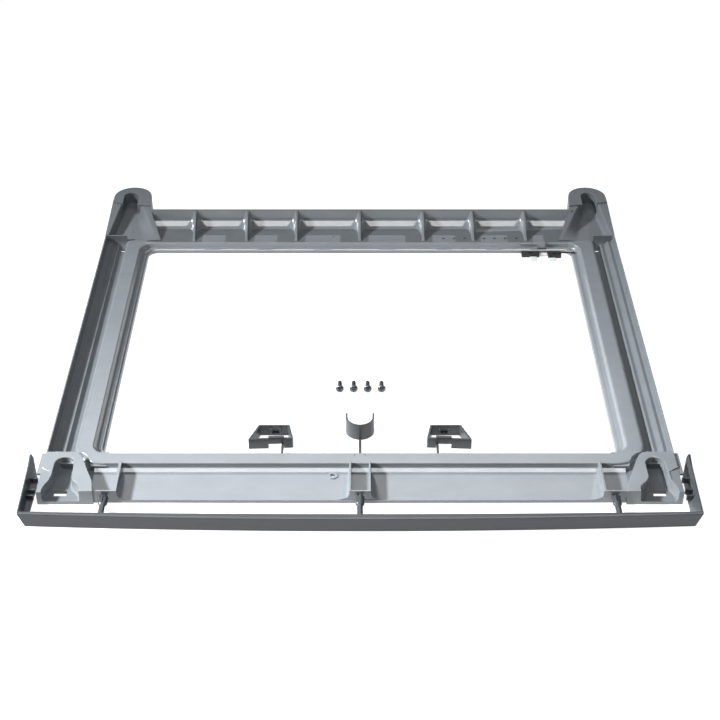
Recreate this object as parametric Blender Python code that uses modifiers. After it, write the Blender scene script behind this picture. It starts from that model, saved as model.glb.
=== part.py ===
"""Stacking kit that joins a tumble dryer to the washing machine under it.

A grey moulded frame lies on the washer. Four keyed pockets take the dryer's feet, and a front
trim slides in on three snap pegs. Two foot locks and a half sleeve hang on break-off runners
inside the frame, four screws lie loose in it, and a black cable clip sits on the rear lip.
Metres, +Z up, +Y to the rear. The origin is under the middle of the whole kit.
"""

import math

import bmesh
import bpy
from mathutils import Matrix, Vector

# Whole kit
GAP = 0.0003
OVERRUN = 0.002
GRID_DIGITS = 7
MERGE_DISTANCE = 0.000001
SHARP_ANGLE = math.radians(35)
WALL = 0.0024
CORNER_FACETS = 6
FRAME_WIDTH = 0.573
FRAME_DEPTH = 0.534
SIDE_BEAM_WIDTH = 0.0507
FRONT_BEAM_DEPTH = 0.0665
REAR_BEAM_DEPTH = 0.103
OPENING_RADIUS = 0.009
CORNER_LENGTH = 0.016
RAIL_SEAM_INSET = 0.0178

# Heights above the washer
RIM_HEIGHT = 0.015
RIM_REAR_HEIGHT = 0.017
FLANGE_HEIGHT = 0.010
LEDGE_HEIGHT = 0.0045
FLOOR_HEIGHT = 0.003
CELL_HEIGHT = 0.013
TOP_HEIGHT = 0.028

# Section of the beams, measured outwards from the opening
LIP_DRAFT = 0.0006
LIP_WALL = 0.0022
SIDE_LEDGE = 0.0058
SIDE_STEP = 0.0034
SIDE_FLANGE = 0.0163
FLANGE_EDGE = 0.0015
STEP_KNEE_SHARES = (0.6, 0.4)
RIM_DRAFT = 0.0012
RIM_THICKNESS = 0.0017
RIM_KNEE_SHARE = 0.37
FRONT_LEDGE = 0.0026
FRONT_STEP = 0.003
FRONT_FLANGE = 0.0155
FRONT_COVE = 0.0087
FLOOR_SETBACK = 0.0025
REAR_LEDGE = 0.0035
REAR_STEP = 0.0005
REAR_FLOOR = 0.0424
REAR_COVE = 0.005
REAR_WALL_LEAN = 0.0016
REAR_WALL_DRAFT = 0.0014
CHANNEL_SHARES = ((0.05, 0.06), (0.10, 0.0), (0.21, 0.0), (0.36, 0.14), (0.42, 0.29), (0.47, 0.31),
                  (0.60, 0.36), (0.80, 0.54), (0.90, 0.60))
CHANNEL_UNDER_SHARES = ((0.86, 0.57), (0.60, 0.36), (0.42, 0.29), (0.30, 0.05), (0.21, 0.0))
FRONT_COVE_SHARES = ((0.37, 0.71), (0.66, 0.15))
REAR_COVE_SHARES = ((0.66, 0.24), (0.92, 0.80))

# Rear gusset ribs
RIB_THICKNESS = 0.0018
RIB_TOP_DROP = 0.0008
RIB_TOP_LAND = 0.004
RIB_TOE_SETBACK = 0.0045
RIB_TOE_HEIGHT = 0.0012
RIB_BELLY_SHARES = (0.42, 0.40)
RIB_PLACE_SHARES = (0.0, 0.328, 0.585, 0.8555)

# Centre box, side cells and peg holes
BOX_WIDTH = 0.0194
BOX_WALL = 0.0018
BULKHEAD = 0.0027
PEG_HOLE_WIDTH = 0.0087
PEG_HOLE_HEIGHT = 0.0065
PEG_HOLE_RISE = 0.00025
PEG_HOLE_ROUND = 0.0018
SIDE_PEG_INSET = 0.0605
BOSS_X = -0.0246
BOSS_RADIUS = 0.0058
BOSS_BORE = 0.0024
BOSS_SIDES = 24
BOSS_HEIGHT = 0.0022
BOSS_SETBACK = 0.009

# Front foot pockets
POCKET_DEPTH = 0.0562
POCKET_WIDTH = 0.0498
APRON_REACH_SHARE = 0.33
POCKET_EDGE_SHARES = ((0.552, 1.0), (0.60, 0.975), (0.649, 0.925), (0.727, 0.774), (0.831, 0.525),
                      (0.948, 0.276), (1.0, 0.0))
SLOT_RADIUS = 0.0087
SLOT_INSET = 0.0205
SLOT_EYE_DEPTH = 0.0392
SLOT_NECK_DEPTH = 0.0185
SLOT_FLARE_SHARES = ((0.5, 0.36), (0.0, 1.0))
SLOT_FLARE_OUT = 0.0063
SLOT_FLARE_IN = 0.0096
POCKET_HOLE = (0.012, 0.0066)
POCKET_HOLE_DEPTH = 0.011
EAR_REACH = 0.0040
EAR_LENGTH = 0.030
EAR_HEIGHTS = (0.0112, 0.0134)

# Rear foot pockets
LOBE_RADIUS = 0.0215
LOBE_INSET = 0.0243
GUIDE_LENGTH = 0.071
EYE_RADIUS = 0.0068
EYE_INSET = 0.023
EYE_FLOOR_HEIGHT = 0.0135
ARM_SETBACKS = (0.022, 0.0152)
FUNNEL_SHARES = (0.0, 0.25, 0.5, 0.75, 1.0)
FUNNEL_OUTER_INSET = 0.0271
SHOULDER_HEIGHT = 0.0165
WEDGE_WIDTH = 0.0085
FLOOR_INNER_INSETS = (0.0440, 0.0413, 0.0385, 0.0358, 0.0320)
CREST_INSETS = (0.0613, 0.0555, 0.0497, 0.0435, 0.0360)
BROW_INSETS = (0.0045, 0.0070, 0.0087, 0.0101, 0.0135)
FOOT_INSETS = (0.0095, 0.0115, 0.0130, 0.0143, 0.0157)
ARM_STEP = 0.0014
RIDGE_INSETS = (0.0630, 0.0480)
RIDGE_TOE = 0.0006
RIDGE_CLIMB = 1.16
RIDGE_DEPTH = 0.030
DRAIN_HOLE = (0.006, 0.005)
DRAIN_SETBACK = 0.0035

# Front trim
TRIM_OVERHANG = 0.011
TRIM_HEIGHT = 0.015
TRIM_END_TAPER = 0.006
TRIM_BOW = 0.0066
TRIM_LIP_BOW = 0.0042
TRIM_LIP_CENTRE = 0.005
TRIM_WALL = 0.002
TRIM_ARC_STEPS = 24
TRIM_TRAVEL = 0.026
TRIM_SEATED_REACH = 0.0101
WING_LENGTH = 0.0818
WING_FLARE = 0.0025
WING_TIP_RISE = 0.0115
WING_TIP_RUN = 0.016
WING_HOOK_HEIGHTS = (0.005, 0.0105)
WING_HOOK_THICKNESS = 0.0022
WING_HOOK_PLACES = (0.0285, 0.0365, 0.052)
WING_HOOK_CLEARANCE = 0.0012
PEG_AXIS_HEIGHT = 0.0065
PEG_SHAFT_RADIUS = 0.0021
PEG_HEAD_RADIUS = 0.0029
PEG_TIP_RADIUS = 0.0019
PEG_FOOT_RADIUS = 0.0034
PEG_HEAD_LENGTH = 0.0147
PEG_CONE_LENGTH = 0.0035
PEG_FOOT_LENGTH = 0.0022
PEG_WIDENING = 1.38
PEG_ENTRY = 0.0037
PEG_SPLIT = 0.001
PEG_SPLIT_LENGTH = 0.013
PEG_SIDES = 14

# Foot locks
LOCK_HEIGHT = 0.011
LOCK_WALL = 0.0022
LOCK_X = 0.0828
LOCK_FRONT_WIDTH = 0.0427
LOCK_FRONT_SLANT = 0.002
LOCK_DEPTH = 0.023
LOCK_REAR_INSETS = (0.0039, 0.0091)
LOCK_ROUND = 0.0016
LOCK_FROM_OPENING = 0.012
LOCK_NOTCH_WIDTH = 0.0143
LOCK_NOTCH_HEIGHT = 0.005
LOCK_NOTCH_FROM_INNER = 0.0087
LOCK_PAD_THICKNESS = 0.0034
LOCK_PAD_RISE = 0.0013
LOCK_PRONG = (0.0015, 0.0026)
LOCK_PRONG_HEIGHTS = (0.0025, 0.0092)
LOCK_PRONG_SPREAD = 0.0084
LOCK_PRONG_FROM_INNER = 0.017

# Half sleeve
SLEEVE_RADIUS = 0.0134
SLEEVE_WALL = 0.0018
SLEEVE_LEG = 0.006
SLEEVE_HEIGHT = 0.017
SLEEVE_RIB = (0.0027, 0.0009)
SLEEVE_FROM_OPENING = 0.0258
SLEEVE_FACETS = 20

# Break-off runners
RUNNER_WIDTH = 0.0024
RUNNER_HEIGHT = 0.0018
RUNNER_LOCK_GRIP = 0.0016

# Screws
SCREW_HEAD_RADIUS = 0.004
SCREW_HEAD_HEIGHT = 0.0029
SCREW_SHANK_RADIUS = 0.0021
SCREW_ROOT_RADIUS = 0.0015
SCREW_SHANK_LENGTH = 0.016
SCREW_TIP_LENGTH = 0.0035
SCREW_PITCH = 0.0014
SCREW_RECESS = (0.0044, 0.0009, 0.0013)
SCREW_SIDES = 16
SCREW_COUNT = 4
SCREW_TIP_SHARES = (0.7, 0.6)
SCREW_SPACING = 0.0136
SCREW_ROW_X = 0.0006
SCREW_ROW_FROM_OPENING = 0.1015
SCREW_REST_CLEARANCE = 0.00005
HEAD_RIM_SHARE = 0.25
HEAD_UNDER_SHARE = 0.96
HEAD_DOME_SHARES = (0.0, 0.35, 0.7, 0.92)

# Rear cable clip
STRAP_INSETS = (0.0555, 0.0103)
STRAP_DEPTH = 0.0017
STRAP_HEIGHT = 0.0022
HOUSING_A_INSETS = (0.0555, 0.0357)
HOUSING_B_INSETS = (0.0261, 0.0115)
HOUSING_DEPTH = 0.0070
HOUSING_HEIGHT = 0.0044
HOUSING_STEP_WIDTH = 0.0068
HOUSING_STEP_DEPTH = 0.0022
HOUSING_ROUND = 0.0005
BRIDGE_HEIGHT = 0.0026
BRIDGE_DEPTH = 0.0050
TAB_WIDTH = 0.0078
TAB_HEIGHT = 0.0016
TAB_A_LENGTH = 0.009
TAB_B_LENGTH = 0.006
TAB_A_INSET = 0.0425
TAB_B_INSET = 0.0213
TAIL_INSETS = (0.0143, -0.0044)
TAIL_WIDTH = 0.0016
TAIL_HEIGHT = 0.0013
TAIL_FROM_REAR = 0.0078
CLIP_BLOCK_INSETS = (0.0373, 0.0283)
CLIP_BLOCK_RISE = 0.0022
CLIP_BLOCK_DEPTH = 0.0042

# Places worked out from the sizes above
HALF_WIDTH = FRAME_WIDTH / 2
OPEN_X = HALF_WIDTH - SIDE_BEAM_WIDTH
RAIL_END = OPEN_X - RAIL_SEAM_INSET
TRIM_REACH = TRIM_SEATED_REACH + TRIM_TRAVEL
TRIM_HALF_WIDTH = HALF_WIDTH + TRIM_OVERHANG
OVERALL_DEPTH = FRAME_DEPTH + TRIM_REACH
FRONT_Y = TRIM_REACH - OVERALL_DEPTH / 2
REAR_Y = OVERALL_DEPTH / 2
OPEN_FRONT = FRONT_Y + FRONT_BEAM_DEPTH
OPEN_REAR = REAR_Y - REAR_BEAM_DEPTH
SIDE_FLANGE_OUT = LIP_DRAFT + SIDE_LEDGE + SIDE_STEP + SIDE_FLANGE
FRONT_FLANGE_OUT = LIP_DRAFT + FRONT_LEDGE + FRONT_STEP + FRONT_FLANGE
REAR_FLANGE_IN = LIP_DRAFT + REAR_LEDGE + REAR_STEP
REAR_WALL_FOOT = REAR_FLANGE_IN + REAR_FLOOR
RIM_OUT = SIDE_BEAM_WIDTH - RIM_DRAFT
APRON_OUT = FRONT_BEAM_DEPTH - FLOOR_SETBACK
LOBE_Y = REAR_Y - LOBE_RADIUS
APRON_Y = OPEN_FRONT - APRON_OUT
POCKET_REAR = FRONT_Y + POCKET_DEPTH
GUIDE_Y = LOBE_Y - GUIDE_LENGTH
BOX_REAR = OPEN_FRONT - FRONT_FLANGE_OUT
TRIM_FRONT = -OVERALL_DEPTH / 2
SLOT_X = HALF_WIDTH - SLOT_INSET
LOBE_X = HALF_WIDTH - LOBE_INSET
EYE_X = HALF_WIDTH - EYE_INSET
SIDE_PEG_X = HALF_WIDTH - SIDE_PEG_INSET


def clear_scene():
    """Empties the scene."""
    for item in list(bpy.data.objects):
        bpy.data.objects.remove(item, do_unlink=True)


def new_collection(name):
    """A collection linked to the scene."""
    group = bpy.data.collections.new(name)
    bpy.context.scene.collection.children.link(group)
    return group


def finish(piece, colour, roughness, metallic=0.0):
    """Gives a piece its own Principled material."""
    material = bpy.data.materials.new(piece.name + "_finish")
    material.use_nodes = True
    shader = material.node_tree.nodes["Principled BSDF"]
    shader.inputs["Base Color"].default_value = (*colour, 1.0)
    shader.inputs["Roughness"].default_value = roughness
    shader.inputs["Metallic"].default_value = metallic
    material.diffuse_color = (*colour, 1.0)
    piece.data.materials.clear()
    piece.data.materials.append(material)
    return piece


def frame_grey(piece):
    """Semi-gloss grey polymer of the frame."""
    return finish(piece, (0.33, 0.36, 0.39), 0.38)


def trim_grey(piece):
    """Darker satin grey of the trim."""
    return finish(piece, (0.24, 0.26, 0.28), 0.42)


def lock_grey(piece):
    """Mid grey of the small moulded locks."""
    return finish(piece, (0.26, 0.28, 0.29), 0.45)


def clip_black(piece):
    """Black nylon of the cable clip."""
    return finish(piece, (0.012, 0.013, 0.014), 0.5)


def clip_natural(piece):
    """Milky unpigmented nylon."""
    return finish(piece, (0.72, 0.73, 0.72), 0.4)


def screw_steel(piece):
    """Dull zinc-plated steel."""
    return finish(piece, (0.30, 0.31, 0.33), 0.35, 1.0)


def as_object(name, mesh):
    """Links a mesh to the parts collection."""
    piece = bpy.data.objects.new(name, mesh)
    PARTS.objects.link(piece)
    return piece


def tidy_mesh(shape, mesh):
    """Snaps points to a fine grid, merges doubles and turns every face outwards."""
    for vertex in shape.verts:
        vertex.co = [round(value, GRID_DIGITS) for value in vertex.co]
    bmesh.ops.remove_doubles(shape, verts=shape.verts, dist=MERGE_DISTANCE)
    bmesh.ops.recalc_face_normals(shape, faces=shape.faces)
    for face in shape.faces:
        face.smooth = False
    shape.to_mesh(mesh)
    shape.free()


def block(name, low, high):
    """A box between two corners."""
    low, high = Vector(low), Vector(high)
    for axis in range(3):
        low[axis], high[axis] = min(low[axis], high[axis]), max(low[axis], high[axis])
    shape = bmesh.new()
    place = Matrix.Translation((low + high) / 2) @ Matrix.Diagonal((*(high - low), 1.0))
    bmesh.ops.create_cube(shape, size=1.0, matrix=place)
    mesh = bpy.data.meshes.new(name)
    tidy_mesh(shape, mesh)
    return as_object(name, mesh)


TURNS = {
    "Z": Matrix.Identity(4),
    "Y": Matrix(((1, 0, 0, 0), (0, 0, -1, 0), (0, 1, 0, 0), (0, 0, 0, 1))),
    "X": Matrix(((0, 0, 1, 0), (1, 0, 0, 0), (0, 1, 0, 0), (0, 0, 0, 1))),
}


def prism(name, outline, start, end, axis="Z"):
    """A flat outline drawn out from start to end along an axis."""
    curve = bpy.data.curves.new(name, "CURVE")
    curve.dimensions = "2D"
    curve.fill_mode = "BOTH"
    curve.extrude = abs(end - start) / 2
    spline = curve.splines.new("POLY")
    spline.points.add(len(outline) - 1)
    for point, (a, b) in zip(spline.points, outline):
        point.co = (a, b, 0.0, 1.0)
    spline.use_cyclic_u = True
    guide = bpy.data.objects.new(name, curve)
    bpy.context.scene.collection.objects.link(guide)
    middle = (start + end) / 2
    shift = {"Z": (0, 0, middle), "Y": (0, middle, 0), "X": (middle, 0, 0)}[axis]
    guide.matrix_world = Matrix.Translation(shift) @ TURNS[axis]
    bpy.context.view_layer.update()
    evaluated = guide.evaluated_get(bpy.context.evaluated_depsgraph_get())
    mesh = bpy.data.meshes.new_from_object(evaluated)
    mesh.transform(guide.matrix_world)
    bpy.data.objects.remove(guide, do_unlink=True)
    shape = bmesh.new()
    shape.from_mesh(mesh)
    tidy_mesh(shape, mesh)
    mesh.name = name
    return as_object(name, mesh)


def through(name, loops):
    """A closed body through loops of as many points, with flat ends and triangulated sides."""
    shape = bmesh.new()
    rings = [[shape.verts.new(point) for point in loop] for loop in loops]
    count = len(loops[0])
    sides = []
    for ring, following in zip(rings, rings[1:]):
        for i in range(count):
            j = (i + 1) % count
            sides.append(shape.faces.new((ring[i], ring[j], following[j], following[i])))
    bmesh.ops.triangulate(shape, faces=sides)
    shape.faces.new(rings[0])
    shape.faces.new(rings[-1])
    mesh = bpy.data.meshes.new(name)
    tidy_mesh(shape, mesh)
    return as_object(name, mesh)


def turned(name, profile, sides, matrix):
    """A profile of (radius, height) pairs turned about its axis with a Screw modifier."""
    mesh = bpy.data.meshes.new(name + "_profile")
    points = [(radius, 0.0, height) for radius, height in profile]
    mesh.from_pydata(points, [(i, i + 1) for i in range(len(points) - 1)], [])
    guide = bpy.data.objects.new(name + "_profile", mesh)
    bpy.context.scene.collection.objects.link(guide)
    screw = guide.modifiers.new("turn", "SCREW")
    screw.steps = sides
    screw.render_steps = sides
    screw.use_merge_vertices = True
    screw.merge_threshold = 0.00001
    bpy.context.view_layer.update()
    evaluated = guide.evaluated_get(bpy.context.evaluated_depsgraph_get())
    body = bpy.data.meshes.new_from_object(evaluated)
    body.transform(matrix)
    bpy.data.objects.remove(guide, do_unlink=True)
    shape = bmesh.new()
    shape.from_mesh(body)
    tidy_mesh(shape, body)
    body.name = name
    body.shade_smooth()
    body.set_sharp_from_angle(angle=SHARP_ANGLE)
    return as_object(name, body)


def combine(target, operation, *operands):
    """Joins, cuts or crosses a piece with guide shapes that move to the guides collection."""
    for operand in operands:
        modifier = target.modifiers.new(operand.name, "BOOLEAN")
        modifier.operation = operation
        modifier.solver = "EXACT"
        modifier.object = operand
        operand.hide_render = True
        operand.display_type = "WIRE"
        if operand.name in PARTS.objects:
            PARTS.objects.unlink(operand)
            GUIDES.objects.link(operand)
    return target


def join(target, *operands):
    """Boolean union."""
    return combine(target, "UNION", *operands)


def cut(target, *operands):
    """Boolean difference."""
    return combine(target, "DIFFERENCE", *operands)


def arc(centre, radius, start, end, steps):
    """Points on an arc, angles in degrees."""
    points = []
    for i in range(steps + 1):
        angle = math.radians(start + (end - start) * i / steps)
        points.append((centre[0] + radius * math.cos(angle), centre[1] + radius * math.sin(angle)))
    return points


def circle(centre, radius, sides):
    """Points of a full circle."""
    return arc(centre, radius, 0, 360, sides)[:-1]


def area_sign(outline):
    """+1 for a counter-clockwise outline, -1 for a clockwise one."""
    total = 0.0
    for (ax, ay), (bx, by) in zip(outline, outline[1:] + outline[:1]):
        total += ax * by - bx * ay
    return math.copysign(1.0, total)


def inset(outline, distance):
    """The outline moved inwards by a distance, with mitred corners."""
    sign = area_sign(outline)
    moved = []
    count = len(outline)
    for i in range(count):
        here = Vector(outline[i])
        before = (here - Vector(outline[i - 1])).normalized()
        after = (Vector(outline[(i + 1) % count]) - here).normalized()
        normal_a = Vector((-before.y, before.x)) * sign
        normal_b = Vector((-after.y, after.x)) * sign
        bisector = (normal_a + normal_b).normalized()
        reach = distance / bisector.dot(normal_a)
        moved.append(tuple(here + bisector * reach))
    return moved


def rounded(outline, radius, steps=3):
    """The outline with each corner turned into a short arc."""
    points = []
    count = len(outline)
    for i in range(count):
        here = Vector(outline[i])
        to_last = (Vector(outline[i - 1]) - here).normalized()
        to_next = (Vector(outline[(i + 1) % count]) - here).normalized()
        start, end = here + to_last * radius, here + to_next * radius
        for k in range(steps + 1):
            t = k / steps
            points.append(tuple(start * (1 - t) ** 2 + here * 2 * t * (1 - t) + end * t ** 2))
    return points


def from_side(insets):
    """Distances from the kit's middle of places measured in from the frame's side."""
    return [HALF_WIDTH - inset_size for inset_size in insets]


def from_opening(insets):
    """Distances from the kit's middle of places measured in from the opening's side."""
    return [OPEN_X - inset_size for inset_size in insets]


def mirrored(outline, side):
    """The outline on the left (side -1) or right (side 1) of the kit."""
    return [(x * side, y) for x, y in outline]


def side_name(side):
    """left or right."""
    return "left" if side < 0 else "right"


def opening_outline(offset_x, offset_front, offset_rear, radius):
    """The rounded outline of the opening, let out by offsets."""
    x = OPEN_X + offset_x
    front, rear = OPEN_FRONT - offset_front, OPEN_REAR + offset_rear
    corners = ((x - radius, rear - radius, 0), (-x + radius, rear - radius, 90),
               (-x + radius, front + radius, 180), (x - radius, front + radius, 270))
    points = []
    for cx, cy, start in corners:
        points += arc((cx, cy), radius, start, start + 90, CORNER_FACETS)
    return points


def opening_cutters(tag):
    """Cutters for the opening and for the step that rises from its ledge to the flange."""
    shaft = prism(tag + "_opening", opening_outline(0, 0, 0, OPENING_RADIUS), -OVERRUN, TOP_HEIGHT)
    slope = 1 + OVERRUN / (FLANGE_HEIGHT - LEDGE_HEIGHT)
    loops = []
    for share, z in ((0, LEDGE_HEIGHT), (slope, FLANGE_HEIGHT + OVERRUN)):
        side = LIP_DRAFT + SIDE_LEDGE + SIDE_STEP * share
        front = LIP_DRAFT + FRONT_LEDGE + FRONT_STEP * share
        rear = LIP_DRAFT + REAR_LEDGE + REAR_STEP * share
        loops.append([(x, y, z) for x, y in opening_outline(side, front, rear, OPENING_RADIUS + front)])
    return shaft, through(tag + "_step", loops)


def ring_top(ledge, step, flange):
    """Top line of a beam from the lip's foot to the flange's outer edge."""
    lip = LIP_DRAFT
    inner = lip + ledge + step
    knee_run, knee_rise = STEP_KNEE_SHARES
    return [(0.0, 0.0), (lip, LEDGE_HEIGHT), (lip + ledge, LEDGE_HEIGHT),
            (lip + ledge + step * knee_run, LEDGE_HEIGHT + (FLANGE_HEIGHT - LEDGE_HEIGHT) * knee_rise),
            (inner, FLANGE_HEIGHT), (inner + flange - FLANGE_EDGE, FLANGE_HEIGHT)]


def ring_under(ledge, step, outer):
    """Hollow under a beam's flange, from the outer wall back to the lip's foot."""
    inner = LIP_DRAFT + ledge + step
    height = FLANGE_HEIGHT - WALL
    return [(outer - WALL, height), (inner + WALL / 2, height),
            (LIP_DRAFT + ledge + WALL / 2, LEDGE_HEIGHT - WALL),
            (LIP_DRAFT + LIP_WALL, LEDGE_HEIGHT - WALL), (LIP_WALL, 0.0)]


def channel_point(share, rise):
    """A point of the side channel from its shares of width and height."""
    width = RIM_OUT - RIM_THICKNESS - SIDE_FLANGE_OUT
    return SIDE_FLANGE_OUT + width * share, FLOOR_HEIGHT + (RIM_HEIGHT - FLOOR_HEIGHT) * rise


def channel_top(rim):
    """Flange edge, terraced channel, rim and outer wall."""
    points = [(SIDE_FLANGE_OUT, FLANGE_HEIGHT - FLANGE_EDGE)]
    points += [channel_point(share, rise) for share, rise in CHANNEL_SHARES]
    points += [(RIM_OUT - RIM_THICKNESS, rim), (RIM_OUT, rim), (SIDE_BEAM_WIDTH, 0.0)]
    return points


def channel_under():
    """Underside of the channel from the outer wall to the flange's wall."""
    points = [(SIDE_BEAM_WIDTH - WALL, 0.0), (RIM_OUT - WALL, RIM_HEIGHT * RIM_KNEE_SHARE)]
    for share, rise in CHANNEL_UNDER_SHARES:
        u, z = channel_point(share, rise)
        points.append((u, z - WALL))
    points.append((SIDE_FLANGE_OUT - WALL, FLOOR_HEIGHT - WALL))
    return points


def side_section(rim):
    """Whole section of a side beam with its rim at a height."""
    return (ring_top(SIDE_LEDGE, SIDE_STEP, SIDE_FLANGE) + channel_top(rim) + channel_under()
            + ring_under(SIDE_LEDGE, SIDE_STEP, SIDE_FLANGE_OUT))


def channel_section(rim):
    """Section of the channel alone, closed inside the flange's wall."""
    return ([(SIDE_FLANGE_OUT - WALL, FLANGE_HEIGHT - FLANGE_EDGE)] + channel_top(rim)
            + channel_under())


def front_cove():
    """Cove from the front flange down to the floor plate."""
    points = [(FRONT_FLANGE_OUT, FLANGE_HEIGHT - FLANGE_EDGE)]
    for share, rise in FRONT_COVE_SHARES:
        points.append((FRONT_FLANGE_OUT + FRONT_COVE * share,
                       FLOOR_HEIGHT + (FLANGE_HEIGHT - FLOOR_HEIGHT) * rise))
    points.append((FRONT_FLANGE_OUT + FRONT_COVE, FLOOR_HEIGHT))
    return points


def apron():
    """Floor plate from the cove to the front edge and back underneath."""
    under = FLOOR_HEIGHT - WALL
    return front_cove() + [(APRON_OUT, FLOOR_HEIGHT), (APRON_OUT, 0.0), (APRON_OUT - WALL, 0.0),
                           (APRON_OUT - WALL, under), (FRONT_FLANGE_OUT + FRONT_COVE / 2, under)]


def front_section():
    """Whole section of the front beam."""
    return (ring_top(FRONT_LEDGE, FRONT_STEP, FRONT_FLANGE) + apron()
            + [(FRONT_FLANGE_OUT - WALL, FLOOR_HEIGHT)]
            + ring_under(FRONT_LEDGE, FRONT_STEP, FRONT_FLANGE_OUT))


def rear_bay():
    """Floor, cove and wall of the rear beam, from the floor's front to the wall's foot."""
    points = []
    for share, rise in REAR_COVE_SHARES:
        points.append((REAR_WALL_FOOT - REAR_COVE * (1 - share), FLANGE_HEIGHT + REAR_COVE * rise))
    top = REAR_WALL_FOOT + REAR_WALL_LEAN
    points += [(top, TOP_HEIGHT), (top + WALL, TOP_HEIGHT), (top + WALL + REAR_WALL_DRAFT, 0.0),
               (top + REAR_WALL_DRAFT, 0.0), (REAR_WALL_FOOT, FLANGE_HEIGHT - WALL)]
    return [(REAR_WALL_FOOT - REAR_COVE, FLANGE_HEIGHT)] + points


def rear_section():
    """Whole section of the rear beam."""
    inner = REAR_FLANGE_IN
    return ([(0.0, 0.0), (LIP_DRAFT, LEDGE_HEIGHT), (LIP_DRAFT + REAR_LEDGE, LEDGE_HEIGHT),
             (inner, FLANGE_HEIGHT)] + rear_bay()
            + [(inner + WALL, FLANGE_HEIGHT - WALL), (LIP_DRAFT + LIP_WALL, LEDGE_HEIGHT - WALL),
               (LIP_WALL, 0.0)])


def rear_bay_section():
    """Section of the rear floor and wall alone."""
    return ([(REAR_FLANGE_IN + WALL, FLANGE_HEIGHT - WALL), (REAR_FLANGE_IN + WALL, FLANGE_HEIGHT)]
            + rear_bay())


def facing_front(section):
    """A section laid out from the opening towards the front."""
    return [(OPEN_FRONT - u, z) for u, z in section]


def facing_rear(section):
    """A section laid out from the opening towards the rear."""
    return [(OPEN_REAR + u, z) for u, z in section]


def facing_side(section, side):
    """A section laid out from the opening towards one side."""
    return [((OPEN_X + u) * side, z) for u, z in section]


def peg_hole(name, x):
    """Cutter for a snap peg's hole, with rounded corners."""
    low = FLOOR_HEIGHT + PEG_HOLE_RISE
    high = low + PEG_HOLE_HEIGHT
    half = PEG_HOLE_WIDTH / 2
    outline = rounded([(x - half, low), (x + half, low), (x + half, high), (x - half, high)],
                      PEG_HOLE_ROUND)
    return prism(name, outline, APRON_Y - OVERRUN, APRON_Y + BOX_WALL + OVERRUN, "Y")


def front_rail():
    """Front beam with its centre box, end bulkheads and screw boss."""
    end = RAIL_END - GAP / 2
    rail = prism("front_rail", facing_front(front_section()), -end, end, "X")
    half = BOX_WIDTH / 2
    rear = BOX_REAR + WALL / 2
    base = FLOOR_HEIGHT - WALL / 2
    for side in (-1, 1):
        join(rail, block(f"box_wall_{side_name(side)}", (side * half, APRON_Y, base),
                         (side * (half - BOX_WALL), rear, CELL_HEIGHT)))
        join(rail, block(f"bulkhead_{side_name(side)}", (side * (end - GAP), APRON_Y, base),
                         (side * (end - GAP - BULKHEAD), rear, CELL_HEIGHT)))
    join(rail, block("box_front", (-half, APRON_Y, base), (half, APRON_Y + BOX_WALL, CELL_HEIGHT)))
    cut(rail, peg_hole("box_peg_hole", 0.0))
    boss_y = BOX_REAR - BOSS_SETBACK
    ring = circle((BOSS_X, boss_y), BOSS_RADIUS, BOSS_SIDES)
    bore = circle((BOSS_X, boss_y), BOSS_BORE, BOSS_SIDES // 2)
    join(rail, prism("boss_ring", ring, base, FLOOR_HEIGHT + BOSS_HEIGHT))
    cut(rail, prism("boss_bore", bore, -OVERRUN, TOP_HEIGHT))
    return frame_grey(rail)


def gusset(name, x):
    """One triangular rib between the rear floor and the rear wall."""
    toe = REAR_FLANGE_IN + RIB_TOE_SETBACK
    base = FLANGE_HEIGHT - WALL / 2
    wall = REAR_WALL_FOOT + REAR_WALL_LEAN + WALL / 2
    top = TOP_HEIGHT - RIB_TOP_DROP
    crest = REAR_WALL_FOOT - RIB_TOP_LAND
    belly_run, belly_rise = RIB_BELLY_SHARES
    low = FLANGE_HEIGHT + RIB_TOE_HEIGHT
    outline = [(toe, base), (wall, base), (wall, top), (crest, top),
               (toe + (crest - toe) * belly_run, low + (top - low) * belly_rise), (toe, low)]
    half = RIB_THICKNESS / 2
    return prism(name, facing_rear(outline), x - half, x + half, "X")


def rear_rail():
    """Rear beam with its upright wall and seven gusset ribs."""
    end = RAIL_END - GAP / 2
    rail = prism("rear_rail", facing_rear(rear_section()), -end, end, "X")
    places = sorted({side * RAIL_END * share for share in RIB_PLACE_SHARES for side in (-1, 1)})
    for number, x in enumerate(places, 1):
        join(rail, gusset(f"gusset_{number}", x))
    ledge = OPEN_REAR + LIP_DRAFT + WALL / 2
    near, far = from_opening(CLIP_BLOCK_INSETS)
    join(rail, block("clip_block", (near, ledge, LEDGE_HEIGHT - WALL / 2),
                     (far, ledge + CLIP_BLOCK_DEPTH, FLANGE_HEIGHT + CLIP_BLOCK_RISE)))
    return frame_grey(rail)


def side_rail(side):
    """Straight side beam between the front and rear corners; its rim rises to the rear."""
    start = OPEN_FRONT + CORNER_LENGTH + GAP / 2
    end = OPEN_REAR - CORNER_LENGTH - GAP / 2
    loops = []
    for y, rim in ((start, RIM_HEIGHT), (end, RIM_REAR_HEIGHT)):
        loops.append([(x, y, z) for x, z in facing_side(side_section(rim), side)])
    return frame_grey(through(f"{side_name(side)}_rail", loops))


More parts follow.
